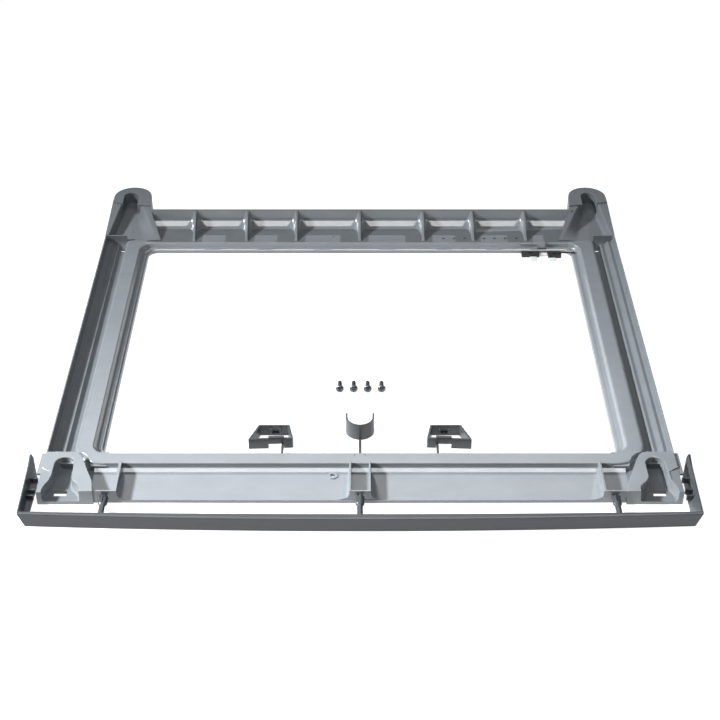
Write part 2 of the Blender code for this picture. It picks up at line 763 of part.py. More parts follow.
def corner_flange(tag, side, front, rear, hollow_front, hollow_rear):
    """Flange block at a corner with its opening, step and hollow underside."""
    inner, outer = RAIL_END + GAP / 2, OPEN_X + SIDE_FLANGE_OUT
    flange = block(tag, (side * inner, front, 0.0), (side * outer, rear, FLANGE_HEIGHT))
    hollow = block(tag + "_hollow", (side * (inner - OVERRUN), hollow_front, -OVERRUN),
                   (side * (outer - WALL), hollow_rear, FLANGE_HEIGHT - WALL))
    side_keep = LIP_DRAFT + SIDE_LEDGE + SIDE_STEP + WALL / 2
    front_keep = LIP_DRAFT + FRONT_LEDGE + FRONT_STEP + WALL / 2
    rear_keep = REAR_FLANGE_IN + WALL / 2
    keep = opening_outline(side_keep, front_keep, rear_keep, OPENING_RADIUS + side_keep)
    cut(hollow, prism(tag + "_keep", keep, -2 * OVERRUN, TOP_HEIGHT))
    cut(flange, hollow, *opening_cutters(tag))
    return flange


def pocket_outline():
    """Plan of a front foot pocket, seen on the right."""
    outer = OPEN_X + RIM_OUT
    points = [(outer, FRONT_Y), (outer, POCKET_REAR)]
    for across, back in POCKET_EDGE_SHARES:
        points.append((outer - POCKET_WIDTH * across, FRONT_Y + POCKET_DEPTH * back))
    return points


def slot_outline(front):
    """Plan of a front pocket's keyed slot, open towards the front."""
    eye = FRONT_Y + SLOT_EYE_DEPTH
    neck = FRONT_Y + SLOT_NECK_DEPTH
    points = arc((SLOT_X, eye), SLOT_RADIUS, 0, 180, 2 * CORNER_FACETS)
    inner, outer = SLOT_X - SLOT_RADIUS, SLOT_X + SLOT_RADIUS
    points.append((inner, neck))
    for back, spread in SLOT_FLARE_SHARES:
        points.append((inner - SLOT_FLARE_IN * spread, FRONT_Y + SLOT_NECK_DEPTH * back))
    points.append((inner - SLOT_FLARE_IN, front))
    points.append((outer + SLOT_FLARE_OUT, front))
    for back, spread in reversed(SLOT_FLARE_SHARES):
        points.append((outer + SLOT_FLARE_OUT * spread, FRONT_Y + SLOT_NECK_DEPTH * back))
    points.append((outer, neck))
    return points


def front_corner(side):
    """Front foot pocket with its keyed slot, the peg cell beside it and the corner of the ring."""
    name = f"front_{side_name(side)}_pocket"
    end = OPEN_FRONT + CORNER_LENGTH - GAP / 2
    body = prism(name, mirrored(pocket_outline(), side), 0.0, RIM_HEIGHT)
    hollow = prism(name + "_hollow", mirrored(inset(pocket_outline(), WALL), side), -OVERRUN,
                   RIM_HEIGHT - WALL)
    slot_wall = inset(slot_outline(FRONT_Y - OVERRUN), -WALL)
    cut(hollow, prism(name + "_slot_wall", mirrored(slot_wall, side), -2 * OVERRUN, TOP_HEIGHT))
    cut(body, hollow)
    flange = corner_flange(name + "_flange", side, BOX_REAR, end, BOX_REAR + WALL, end + OVERRUN)
    channel = prism(name + "_channel", facing_side(channel_section(RIM_HEIGHT), side),
                    POCKET_REAR - WALL, end, "Y")
    inner = RAIL_END + GAP / 2
    pocket_inner = OPEN_X + RIM_OUT - POCKET_WIDTH
    reach = sorted((side * inner, side * (pocket_inner + POCKET_WIDTH * APRON_REACH_SHARE)))
    floor = prism(name + "_apron", facing_front([(FRONT_FLANGE_OUT - WALL, FLANGE_HEIGHT - WALL),
                                                 (FRONT_FLANGE_OUT - WALL, FLANGE_HEIGHT - FLANGE_EDGE)]
                                                + apron()), reach[0], reach[1], "X")
    front = block(name + "_cell_front", (side * inner, APRON_Y, FLOOR_HEIGHT - WALL / 2),
                  (side * (pocket_inner + WALL), APRON_Y + BOX_WALL, CELL_HEIGHT))
    ear = block(name + "_ear", (side * (HALF_WIDTH - WALL), POCKET_REAR - EAR_LENGTH, EAR_HEIGHTS[0]),
                (side * (HALF_WIDTH + EAR_REACH - RIM_DRAFT), POCKET_REAR - GAP, EAR_HEIGHTS[1]))
    join(body, flange, channel, floor, front, ear)
    slot = slot_outline(FRONT_Y - OVERRUN)
    cut(body, prism(name + "_slot", mirrored(slot, side), FLOOR_HEIGHT, TOP_HEIGHT))
    hole_x, hole_y = SLOT_X, FRONT_Y + POCKET_HOLE_DEPTH
    half_x, half_y = POCKET_HOLE[0] / 2, POCKET_HOLE[1] / 2
    cut(body, block(name + "_floor_hole", (side * (hole_x - half_x), hole_y - half_y, -OVERRUN),
                    (side * (hole_x + half_x), hole_y + half_y, TOP_HEIGHT)))
    cut(body, peg_hole(name + "_peg_hole", side * SIDE_PEG_X))
    return frame_grey(body)


def lobe_outline():
    """Plan of a rear foot pocket, seen on the right."""
    points = [(HALF_WIDTH - RIM_DRAFT, GUIDE_Y), (LOBE_X + LOBE_RADIUS, LOBE_Y)]
    points += arc((LOBE_X, LOBE_Y), LOBE_RADIUS, 0, 180, 3 * CORNER_FACETS)[1:]
    front, rear = from_side(RIDGE_INSETS)
    points += [(rear, LOBE_Y - RIDGE_DEPTH), (front, GUIDE_Y)]
    return points


def funnel_station(number, top):
    """Section of the air above the funnel at one station between its mouth and its arms."""
    share = FUNNEL_SHARES[number]
    floor = FLANGE_HEIGHT + (EYE_FLOOR_HEIGHT - FLANGE_HEIGHT) * share
    rim = RIM_REAR_HEIGHT + (TOP_HEIGHT - ARM_STEP - RIM_REAR_HEIGHT) * share
    climb = min(1.0, share * RIDGE_CLIMB)
    ridge = FLANGE_HEIGHT + RIDGE_TOE + (TOP_HEIGHT - ARM_STEP - FLANGE_HEIGHT - RIDGE_TOE) * climb
    outer = HALF_WIDTH - FUNNEL_OUTER_INSET
    wedge = outer + WEDGE_WIDTH * (1 - share)
    outside, inside = HALF_WIDTH + OVERRUN, HALF_WIDTH - RIDGE_INSETS[0] - OVERRUN
    insets = (BROW_INSETS[number], FOOT_INSETS[number], FLOOR_INNER_INSETS[number], CREST_INSETS[number])
    brow, foot, inner, crest = from_side(insets)
    points = [(outside, top), (outside, rim), (brow, rim), (foot, SHOULDER_HEIGHT),
              (wedge, SHOULDER_HEIGHT), (outer, floor), (inner, floor), (crest, ridge),
              (inside, ridge), (inside, top)]
    arms = GUIDE_Y - OVERRUN * (1 - share) + (LOBE_Y - ARM_SETBACKS[0] - GUIDE_Y) * share
    skew = (ARM_SETBACKS[0] - ARM_SETBACKS[1]) * share / (FLOOR_INNER_INSETS[0] - FOOT_INSETS[0])
    mouth = HALF_WIDTH - FLOOR_INNER_INSETS[0]
    return [(x, arms + (x - mouth) * skew, z) for x, z in points]


def rear_corner(side):
    """Rear foot pocket: raised keyed plate, funnel and the corner of the ring."""
    name = f"rear_{side_name(side)}_pocket"
    start = OPEN_REAR - CORNER_LENGTH + GAP / 2
    inner = RAIL_END + GAP / 2
    body = prism(name, mirrored(lobe_outline(), side), 0.0, TOP_HEIGHT)
    hollow = prism(name + "_hollow", mirrored(inset(lobe_outline(), WALL), side), -OVERRUN,
                   FLANGE_HEIGHT - WALL)
    arms = LOBE_Y - ARM_SETBACKS[1] + WALL
    ridge_front, ridge_rear = from_side(RIDGE_INSETS)
    span = sorted((side * (HALF_WIDTH + OVERRUN), side * (ridge_front - OVERRUN)))
    rise = block(name + "_arm_hollow", (span[0], arms, -OVERRUN), (span[1], REAR_Y, TOP_HEIGHT - WALL))
    inside = mirrored(inset(lobe_outline(), WALL + GAP), side)
    combine(rise, "INTERSECT", prism(name + "_arm_inside", inside, -2 * OVERRUN, TOP_HEIGHT))
    eye = ([(EYE_X + EYE_RADIUS, GUIDE_Y)] + arc((EYE_X, LOBE_Y), EYE_RADIUS, 0, 180, 2 * CORNER_FACETS)
           + [(EYE_X - EYE_RADIUS, GUIDE_Y)])
    cut(rise, prism(name + "_eye_wall", mirrored(inset(eye, -WALL), side), -3 * OVERRUN,
                    TOP_HEIGHT + OVERRUN))
    cut(body, hollow, rise)
    loops = [funnel_station(number, TOP_HEIGHT + OVERRUN) for number in range(len(FUNNEL_SHARES))]
    cut(body, through(name + "_funnel", [[(x * side, y, z) for x, y, z in loop] for loop in loops]))
    arm_root = LOBE_Y - ARM_SETBACKS[0] - EYE_RADIUS
    eye = [(x, max(y, arm_root)) for x, y in eye]
    cut(body, prism(name + "_eye", mirrored(eye, side), EYE_FLOOR_HEIGHT, TOP_HEIGHT + 2 * OVERRUN))
    rear = OPEN_REAR + REAR_WALL_FOOT
    flange = corner_flange(name + "_flange", side, start, rear, start - OVERRUN, rear - WALL)
    channel = prism(name + "_channel", facing_side(channel_section(RIM_REAR_HEIGHT), side), start,
                    GUIDE_Y + WALL, "Y")
    reach = sorted((side * inner, side * (ridge_rear + WALL)))
    bay = prism(name + "_bay", facing_rear(rear_bay_section()), reach[0], reach[1], "X")
    join(body, flange, channel, bay)
    near, far = OPEN_X + SIDE_FLANGE_OUT + GAP, OPEN_X + SIDE_FLANGE_OUT + DRAIN_HOLE[0]
    hole_y = GUIDE_Y - DRAIN_SETBACK
    cut(body, block(name + "_drain", (side * near, hole_y - DRAIN_HOLE[1], -OVERRUN),
                    (side * far, hole_y, FLANGE_HEIGHT)))
    return frame_grey(body)


def trim_line(end_y, bow, inwards=0.0):
    """Bowed line across the kit, from left to right."""
    half = TRIM_HALF_WIDTH + OVERRUN
    points = []
    for i in range(TRIM_ARC_STEPS + 1):
        x = -half + 2 * half * i / TRIM_ARC_STEPS
        points.append((x, end_y - bow * (1 - (x / half) ** 2) + inwards))
    return points


def wing(side):
    """Trim end that wraps the corner: a slanted plate with a pointed rear tip."""
    top, foot = TRIM_HALF_WIDTH, TRIM_HALF_WIDTH - TRIM_END_TAPER
    front = TRIM_FRONT + TRIM_BOW
    loops = []
    for y, flare in ((front + OVERRUN / 2, 0.0), (front + WING_LENGTH, WING_FLARE)):
        loops.append([(side * (foot + flare), y, 0.0), (side * (top + flare), y, TRIM_HEIGHT),
                      (side * (top + flare - TRIM_WALL), y, TRIM_HEIGHT),
                      (side * (foot + flare - TRIM_WALL), y, 0.0)])
    plate = through(f"wing_{side_name(side)}", loops)
    tip = front + WING_LENGTH
    under = [(tip - WING_TIP_RUN, -OVERRUN), (tip - WING_TIP_RUN, 0.0), (tip, WING_TIP_RISE),
             (tip + OVERRUN, WING_TIP_RISE), (tip + OVERRUN, -OVERRUN)]
    span = sorted((side * (foot - 2 * TRIM_WALL), side * (top + 2 * WING_FLARE)))
    cut(plate, prism(f"wing_tip_{side_name(side)}", under, span[0], span[1], "X"))
    low, high = WING_HOOK_HEIGHTS
    reach = HALF_WIDTH + WING_HOOK_CLEARANCE
    for number, back in enumerate(WING_HOOK_PLACES, 1):
        y = front + back
        lean = TRIM_END_TAPER * high / TRIM_HEIGHT
        join(plate, block(f"hook_{side_name(side)}_{number}", (side * reach, y, low),
                          (side * (foot + lean - TRIM_WALL / 2), y + WING_HOOK_THICKNESS, high)))
    return plate


def peg(number, x):
    """Split snap peg that stands on the back of the trim."""
    bow = TRIM_BOW * (1 - (x / TRIM_HALF_WIDTH) ** 2)
    base = TRIM_FRONT + TRIM_BOW - bow + TRIM_WALL / 2
    tip = APRON_Y + PEG_ENTRY
    length = tip - base
    head = length - PEG_HEAD_LENGTH
    profile = [(0.0, length), (PEG_TIP_RADIUS, length), (PEG_HEAD_RADIUS, length - PEG_CONE_LENGTH),
               (PEG_HEAD_RADIUS, head),
               (PEG_SHAFT_RADIUS, head - PEG_SHAFT_RADIUS / 2),
               (PEG_SHAFT_RADIUS, TRIM_WALL + PEG_FOOT_LENGTH), (PEG_FOOT_RADIUS, TRIM_WALL),
               (PEG_FOOT_RADIUS, 0.0), (0.0, 0.0)]
    place = (Matrix.Translation((x, base, PEG_AXIS_HEIGHT)) @ Matrix.Rotation(-math.pi / 2, 4, "X")
             @ Matrix.Diagonal((PEG_WIDENING, 1.0, 1.0, 1.0)))
    body = turned(f"peg_{number}", profile, PEG_SIDES, place)
    half = PEG_SPLIT / 2
    cut(body, block(f"peg_split_{number}", (x - half, tip - PEG_SPLIT_LENGTH, 0.0),
                    (x + half, tip + OVERRUN, CELL_HEIGHT)))
    return body


def slide_axis(piece, place):
    """Hangs a sliding piece on an empty that stands on the slide's line, with the piece where it was."""
    axis = bpy.data.objects.new(piece.name + "_slide_axis", None)
    PARTS.objects.link(axis)
    axis.location = place
    piece.parent = axis
    piece.location = -place


def front_trim():
    """Bowed front trim with wrapped ends and three snap pegs; it slides towards the frame."""
    front = TRIM_FRONT + TRIM_BOW
    lip_end = TRIM_FRONT + TRIM_LIP_CENTRE + TRIM_LIP_BOW
    plan = trim_line(front, TRIM_BOW) + trim_line(lip_end, TRIM_LIP_BOW)[::-1]
    trim = prism("front_trim", plan, 0.0, TRIM_HEIGHT)
    top, foot = TRIM_HALF_WIDTH, TRIM_HALF_WIDTH - TRIM_END_TAPER
    slope = TRIM_END_TAPER / TRIM_HEIGHT * OVERRUN
    face = [(-foot + slope, -OVERRUN), (foot - slope, -OVERRUN), (top + slope, TRIM_HEIGHT + OVERRUN),
            (-top - slope, TRIM_HEIGHT + OVERRUN)]
    combine(trim, "INTERSECT", prism("trim_ends", face, TRIM_FRONT - OVERRUN, lip_end + OVERRUN, "Y"))
    inside = trim_line(front, TRIM_BOW, TRIM_WALL) + [(top + 2 * OVERRUN, lip_end + OVERRUN),
                                                    (-top - 2 * OVERRUN, lip_end + OVERRUN)]
    cut(trim, prism("trim_inside", inside, TRIM_WALL, TRIM_HEIGHT - TRIM_WALL))
    join(trim, wing(-1), wing(1))
    for number, x in enumerate((-SIDE_PEG_X, 0.0, SIDE_PEG_X), 1):
        join(trim, peg(number, x))
    slide_axis(trim, Vector((0.0, TRIM_FRONT, PEG_AXIS_HEIGHT)))
    return trim_grey(trim)


def lock_front_y(x):
    """Outer face of a foot lock's slanted front wall at a distance from the kit's middle."""
    share = (x - (LOCK_X - LOCK_FRONT_WIDTH / 2)) / LOCK_FRONT_WIDTH
    return OPEN_FRONT + LOCK_FROM_OPENING + LOCK_FRONT_SLANT * (1 - share)


def foot_lock(side):
    """Trapezoid lock that is broken off its runner and pushed in behind a dryer foot."""
    name = f"foot_lock_{side_name(side)}"
    inner, outer = LOCK_X - LOCK_FRONT_WIDTH / 2, LOCK_X + LOCK_FRONT_WIDTH / 2
    rear = OPEN_FRONT + LOCK_FROM_OPENING + LOCK_DEPTH
    outline = [(inner, lock_front_y(inner)), (outer, lock_front_y(outer)),
               (outer - LOCK_REAR_INSETS[1], rear), (inner + LOCK_REAR_INSETS[0], rear)]
    body = prism(name, mirrored(rounded(outline, LOCK_ROUND), side), 0.0, LOCK_HEIGHT)
    hollow = rounded(inset(outline, LOCK_WALL), LOCK_ROUND / 2)
    cut(body, prism(name + "_inside", mirrored(hollow, side), -OVERRUN, LOCK_HEIGHT + OVERRUN))
    near = inner + LOCK_NOTCH_FROM_INNER
    far = near + LOCK_NOTCH_WIDTH
    pad = [(near, lock_front_y(near) + GAP), (far, lock_front_y(far) + GAP),
           (far, lock_front_y(far) + LOCK_PAD_THICKNESS), (near, lock_front_y(near) + LOCK_PAD_THICKNESS)]
    join(body, prism(name + "_pad", mirrored(pad, side), LOCK_NOTCH_HEIGHT - GAP,
                     LOCK_HEIGHT + LOCK_PAD_RISE))
    low_y, high_y = lock_front_y(far) - OVERRUN, lock_front_y(near) + 2 * LOCK_WALL
    cut(body, block(name + "_notch", (side * near, low_y, -OVERRUN),
                    (side * far, high_y, LOCK_NOTCH_HEIGHT)))
    middle = inner + LOCK_PRONG_FROM_INNER
    half = LOCK_PRONG_SPREAD / 2
    low, high = LOCK_PRONG_HEIGHTS
    wall = rear - LOCK_WALL / 2
    front = rear - LOCK_WALL - LOCK_PRONG[1]
    for place in (-1, 1):
        x = middle + place * half
        join(body, block(f"{name}_prong_{place + 2}", (side * (x - LOCK_PRONG[0] / 2), front, low),
                         (side * (x + LOCK_PRONG[0] / 2), wall, high)))
    join(body, block(name + "_prong_bar", (side * (middle - half), front + GAP, low + GAP),
                     (side * (middle + half), wall, low + LOCK_PRONG[0])))
    return lock_grey(body)


def half_sleeve():
    """Half-round sleeve, open to the rear, with a rib down its front."""
    centre_y = OPEN_FRONT + SLEEVE_FROM_OPENING + SLEEVE_RADIUS
    leg = centre_y + SLEEVE_LEG
    inside = SLEEVE_RADIUS - SLEEVE_WALL
    outline = ([(SLEEVE_RADIUS, leg)] + arc((0, centre_y), SLEEVE_RADIUS, 0, -180, SLEEVE_FACETS)
               + [(-SLEEVE_RADIUS, leg), (-inside, leg)]
               + arc((0, centre_y), inside, -180, 0, SLEEVE_FACETS) + [(inside, leg)])
    body = prism("half_sleeve", outline, 0.0, SLEEVE_HEIGHT)
    half = SLEEVE_RIB[0] / 2
    front = centre_y - SLEEVE_RADIUS
    join(body, block("sleeve_rib", (-half, front - SLEEVE_RIB[1], GAP),
                     (half, front + SLEEVE_WALL / 2, SLEEVE_HEIGHT - GAP)))
    return lock_grey(body)


def runner(name, x, end, low):
    """Thin moulded runner from the frame's inner lip to a small part."""
    half = RUNNER_WIDTH / 2
    return lock_grey(block(name, (x - half, OPEN_FRONT + GAP, low), (x + half, end, low + RUNNER_HEIGHT)))


def runners():
    """Runners to the two foot locks and the half sleeve."""
    inner = LOCK_X - LOCK_FRONT_WIDTH / 2
    x = inner + LOCK_NOTCH_FROM_INNER + RUNNER_WIDTH / 2 + GAP
    low = LOCK_NOTCH_HEIGHT - GAP - RUNNER_HEIGHT
    for side in (-1, 1):
        runner(f"runner_{side_name(side)}", side * x, lock_front_y(x) + RUNNER_LOCK_GRIP, low)
    runner("runner_centre", 0.0, OPEN_FRONT + SLEEVE_FROM_OPENING - SLEEVE_RIB[1] - GAP, 0.0)


def screw_profile():
    """Tip, threaded shank and domed head, from the tip upwards along the axis."""
    length = SCREW_SHANK_LENGTH
    across, along = SCREW_TIP_SHARES
    profile = [(0.0, 0.0), (SCREW_ROOT_RADIUS * across, SCREW_TIP_LENGTH * along)]
    threads = int((length - SCREW_TIP_LENGTH) / SCREW_PITCH)
    for i in range(threads):
        z = SCREW_TIP_LENGTH + i * SCREW_PITCH
        profile += [(SCREW_ROOT_RADIUS, z), (SCREW_SHANK_RADIUS, z + SCREW_PITCH / 2)]
    profile += [(SCREW_ROOT_RADIUS, length), (SCREW_HEAD_RADIUS * HEAD_UNDER_SHARE, length)]
    for share in HEAD_DOME_SHARES:
        height = HEAD_RIM_SHARE + (1 - HEAD_RIM_SHARE) * share
        profile.append((SCREW_HEAD_RADIUS * math.sqrt(1 - share ** 2), length + SCREW_HEAD_HEIGHT * height))
    profile.append((0.0, length + SCREW_HEAD_HEIGHT))
    return profile[::-1]


def screw(number):
    """Pan-head tapping screw lying on its head's rim and its first thread."""
    near = SCREW_TIP_LENGTH + SCREW_PITCH / 2
    far = SCREW_SHANK_LENGTH + SCREW_HEAD_HEIGHT * HEAD_RIM_SHARE
    tilt = math.atan((SCREW_HEAD_RADIUS - SCREW_SHANK_RADIUS) / (far - near))
    rise = SCREW_REST_CLEARANCE + SCREW_SHANK_RADIUS * math.cos(tilt) - near * math.sin(tilt)
    x = SCREW_ROW_X + SCREW_SPACING * (number - (SCREW_COUNT + 1) / 2)
    head_y = OPEN_FRONT + SCREW_ROW_FROM_OPENING
    turn = Matrix.Rotation(math.pi / 2 - tilt, 4, "X")
    tip = Vector((x, head_y + far * math.cos(tilt), rise))
    place = Matrix.Translation(tip) @ turn
    name = f"screw_{number}"
    body = turned(name, screw_profile(), SCREW_SIDES, place)
    width, slot, depth = SCREW_RECESS
    top = SCREW_SHANK_LENGTH + SCREW_HEAD_HEIGHT
    for tag, a, b in (("wide", width / 2, slot / 2), ("tall", slot / 2, width / 2)):
        bar = block(f"{name}_recess_{tag}", (-a, -b, top - depth), (a, b, top + OVERRUN))
        bar.data.transform(place)
        cut(body, bar)
    return screw_steel(body)


def clip_outline(x_pair, rear, depth):
    """Plan of a clip piece in front of a line."""
    return [(x_pair[0], rear - depth), (x_pair[1], rear - depth), (x_pair[1], rear), (x_pair[0], rear)]


def cable_clip():
    """Strap, two housings, bridge, two tabs and a tail that hooks over the ledge's corner."""
    rear = OPEN_REAR - GAP
    near, far = from_opening(STRAP_INSETS)
    strap = block("clip_strap", (near, rear - STRAP_DEPTH, 0.0), (far, rear, STRAP_HEIGHT))
    clip_black(strap)
    face = rear - STRAP_DEPTH - GAP
    span_a, span_b = from_opening(HOUSING_A_INSETS), from_opening(HOUSING_B_INSETS)
    for tag, span in (("a", span_a), ("b", span_b)):
        outline = rounded(clip_outline(span, face, HOUSING_DEPTH), HOUSING_ROUND)
        housing = prism(f"clip_housing_{tag}", outline, 0.0, HOUSING_HEIGHT)
        if tag == "b":
            foot = (span[0], span[0] + HOUSING_STEP_WIDTH)
            step = clip_outline(foot, face - HOUSING_DEPTH + GAP, HOUSING_STEP_DEPTH)
            join(housing, prism("housing_step", step, 0.0, HOUSING_HEIGHT - STRAP_DEPTH / 2))
        clip_black(housing)
    bridge = block("clip_bridge", (span_a[1] + GAP, face - BRIDGE_DEPTH, 0.0),
                   (span_b[0] - GAP, face, BRIDGE_HEIGHT))
    clip_natural(bridge)
    low = LEDGE_HEIGHT + GAP
    near, far = from_opening(TAIL_INSETS)
    tail = block("clip_tail", (near, rear - TAIL_FROM_REAR, low),
                 (far, rear - TAIL_FROM_REAR + TAIL_WIDTH, low + TAIL_HEIGHT))
    clip_black(tail)
    half = TAB_WIDTH / 2
    tab_a, tab_b = from_opening((TAB_A_INSET, TAB_B_INSET))
    for tag, x, length, step in (("a", tab_a, TAB_A_LENGTH, 0.0),
                                 ("b", tab_b, TAB_B_LENGTH, HOUSING_STEP_DEPTH)):
        front = face - HOUSING_DEPTH - step
        shape = rounded(clip_outline((x - half, x + half), front, length), HOUSING_ROUND * 2)
        clip_natural(prism(f"clip_tab_{tag}", shape, 0.0, TAB_HEIGHT))


def build():
    """Makes every piece of the kit."""
    front_rail()
    rear_rail()
    for side in (-1, 1):
        side_rail(side)
        front_corner(side)
        rear_corner(side)
        foot_lock(side)
    front_trim()
    half_sleeve()
    runners()
    for number in range(1, SCREW_COUNT + 1):
        screw(number)
    cable_clip()


clear_scene()
PARTS = new_collection("laundry_stacking_kit")
GUIDES = new_collection("guides")
build()
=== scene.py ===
"""Looks of the stacking kit that joins a tumble dryer to the washing machine under it.

Metres, +Z up, +Y to the rear. An outline or a section is a list of (a, b, radius) points: the radius
rounds the corner, 0 leaves it sharp. Paired pieces are drawn for the right side and mirrored.
"""

import math

import bmesh
import bpy
from mathutils import Matrix, Vector


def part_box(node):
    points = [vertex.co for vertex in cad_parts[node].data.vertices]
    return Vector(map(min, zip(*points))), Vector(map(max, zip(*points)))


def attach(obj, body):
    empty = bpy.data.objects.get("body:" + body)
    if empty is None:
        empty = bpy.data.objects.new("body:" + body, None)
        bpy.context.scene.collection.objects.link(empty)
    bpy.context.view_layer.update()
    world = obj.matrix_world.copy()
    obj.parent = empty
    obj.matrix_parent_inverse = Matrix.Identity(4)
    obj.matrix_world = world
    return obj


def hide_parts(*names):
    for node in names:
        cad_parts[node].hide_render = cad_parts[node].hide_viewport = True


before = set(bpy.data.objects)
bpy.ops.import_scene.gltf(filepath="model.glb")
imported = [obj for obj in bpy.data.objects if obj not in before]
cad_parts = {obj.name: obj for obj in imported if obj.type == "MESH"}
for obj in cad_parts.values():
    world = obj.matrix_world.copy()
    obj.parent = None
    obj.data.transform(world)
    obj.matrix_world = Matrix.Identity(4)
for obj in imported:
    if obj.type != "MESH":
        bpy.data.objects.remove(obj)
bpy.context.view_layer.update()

bl_info = {
    "name": "Dryer stacking kit",
    "version": (1, 0, 0),
    "blender": (4, 5, 0),
    "location": "View3D > Sidebar > Stacking kit",
    "description": "Dresses a moulded dryer stacking kit piece by piece",
    "category": "Object",
}

MM = 0.001
JOIN, CUT, CROSS = "UNION", "DIFFERENCE", "INTERSECT"

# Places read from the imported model
RAIL_LOW, RAIL_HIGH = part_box("right_rail")
POCKET_LOW, POCKET_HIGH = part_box("front_right_pocket")
LOBE_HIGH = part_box("rear_right_pocket")[1]
FLOOR_LOW, FLOOR_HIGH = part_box("front_rail")
TRIM_LOW, TRIM_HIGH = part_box("front_trim")
LOCK_LOW, LOCK_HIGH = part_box("foot_lock_right")
SLEEVE_LOW, SLEEVE_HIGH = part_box("half_sleeve")
OPEN_X = RAIL_LOW.x
OPEN_FRONT = FLOOR_HIGH.y
OPEN_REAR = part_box("rear_rail")[0].y
HALF_WIDTH = RAIL_HIGH.x
FRONT_Y = POCKET_LOW.y
REAR_Y = LOBE_HIGH.y
APRON_Y = FLOOR_LOW.y
RAIL_END = FLOOR_HIGH.x
RIM_HEIGHT = POCKET_HIGH.z
RIM_REAR_HEIGHT = RAIL_HIGH.z
TOP_HEIGHT = LOBE_HIGH.z

# Frame: walls and heights
WALL = 2.4 * MM
LEDGE = 4.5 * MM
FLOOR = 3 * MM
FLANGE = 10 * MM
CELL = 13 * MM
UNDER_FLOOR = 0.7 * MM
OVERRUN = 2 * MM
CORNER_STEPS = 14
SOFT_STEPS = 5

# Ring: from the opening outwards each side has a ledge, a step and a flange
LIP_DRAFT = 0.6 * MM
LIP_WALL = 2.2 * MM
OPENING_RADIUS = 9 * MM
SIDE_RING = (5.8 * MM, 3.4 * MM, 16.3 * MM)
FRONT_RING = (2.6 * MM, 3.0 * MM, 15.5 * MM)
REAR_RING = (3.5 * MM, 0.5 * MM, 42.4 * MM)
FLANGE_X = OPEN_X + LIP_DRAFT + sum(SIDE_RING)
FLANGE_FRONT = OPEN_FRONT - LIP_DRAFT - sum(FRONT_RING)
BAY_FRONT = OPEN_REAR + LIP_DRAFT + sum(REAR_RING[:2])
BAY_REAR = OPEN_REAR + LIP_DRAFT + sum(REAR_RING)

# Front floor: walls as (right face, thickness), boss and the holes of the snap pegs
CENTRE_WALL = (9.7 * MM, 1.8 * MM)
CELL_WALL = (RAIL_END - 0.1 * MM, 2.7 * MM)
CELL_FOOT = FLOOR - 1.2 * MM
BED_INNER = RAIL_END + 12 * MM
BOSS_X = -24.6 * MM
BOSS_Y = FLANGE_FRONT - 9 * MM
PEG_X = HALF_WIDTH - 60.5 * MM
PEG_HEIGHT = 6.5 * MM

# Front foot pockets
POCKET_DEPTH = 56.2 * MM
POCKET_WIDTH = 49.8 * MM
POCKET_OUTER = HALF_WIDTH - 1.2 * MM
POCKET_INNER = POCKET_OUTER - POCKET_WIDTH
POCKET_REAR = FRONT_Y + POCKET_DEPTH
POCKET_EDGE_SHARES = ((0.50, 1.0), (0.575, 0.985), (0.649, 0.925), (0.727, 0.774), (0.831, 0.525),
                      (0.948, 0.276), (1.0, 0.0))
ARM_INNER = 276.3 * MM
SLOT_X = HALF_WIDTH - 20.5 * MM
SLOT_RADIUS = 8.7 * MM
SLOT_EYE_Y = FRONT_Y + 39.2 * MM

# Rear foot pockets and the funnels in front of them
LOBE_RADIUS = 21.5 * MM
LOBE_X = HALF_WIDTH - 24.3 * MM
LOBE_Y = REAR_Y - LOBE_RADIUS
GUIDE_Y = LOBE_Y - 71 * MM
ARMS_Y = LOBE_Y - 22 * MM
EYE_X = HALF_WIDTH - 23 * MM
EYE_RADIUS = 8.4 * MM
EYE_FLOOR = 13.5 * MM
RIDGE_FRONT = HALF_WIDTH - 63 * MM
RIDGE_REAR = HALF_WIDTH - 48 * MM

# Rear bays: the cove's slope as (height, place behind the wall's foot, negative in front of it)
COVE_FOOT = (FLANGE + 0.7 * MM, -7.8 * MM)
COVE_HEAD = (FLANGE + 6.9 * MM, -0.9 * MM)
WALL_LEAN = 1.6 * MM
RIB_PLACE_SHARES = (0.328, 0.585, 0.8555)
# Left and right ends of the pads, and the middles of the pits, as the mould left them
PAD_PLACES = [(left * MM, right * MM) for left, right in (
    (-177.5, -151.6), (-119, -93.1), (-61.6, -22.2), (9.3, 51), (81.4, 107.3), (135.4, 165.8),
    (193.9, 206.3))]
PIT_PLACES = [x * MM for x in (94.2, 106.2, 118.4, 140.0, 151.7, 163.7, 177.0)]

# Front trim: a bowed face with two lips, and a wing round each corner
WING_FLARE = 2.5 * MM
TRIM_HEIGHT = TRIM_HIGH.z
TRIM_FRONT = TRIM_LOW.y
TRIM_HALF = TRIM_HIGH.x - WING_FLARE
TRIM_TAPER = 6 * MM
TRIM_BOW = 6.6 * MM
TRIM_WALL = 2 * MM
TRIM_LIP = 7.4 * MM
TRIM_CORNER = 1.3 * MM
TRIM_END = TRIM_FRONT + TRIM_BOW
LIP_BOW = 3.2 * MM
LIP_CENTRE = 6 * MM
WING_LENGTH = TRIM_HIGH.y - TRIM_END
WING_RUN = 16 * MM
WING_RISE = 11.5 * MM
WING_GAP = 1.2 * MM

# Foot locks and sleeve
LOCK_HEIGHT = 11 * MM
LOCK_WALL = 2.2 * MM
LOCK_ROUND = 1.7 * MM
SLEEVE_WALL = 1.8 * MM

# Screws
SCREW_LENGTH = 16 * MM
SCREW_POINT = 3.5 * MM
SCREW_PITCH = 1.4 * MM
SCREW_CREST = 2.1 * MM
SCREW_ROOT = 1.5 * MM
HEAD_RADIUS = 4 * MM
HEAD_HEIGHT = 2.9 * MM
SCREW_RISE = 0.10 * MM

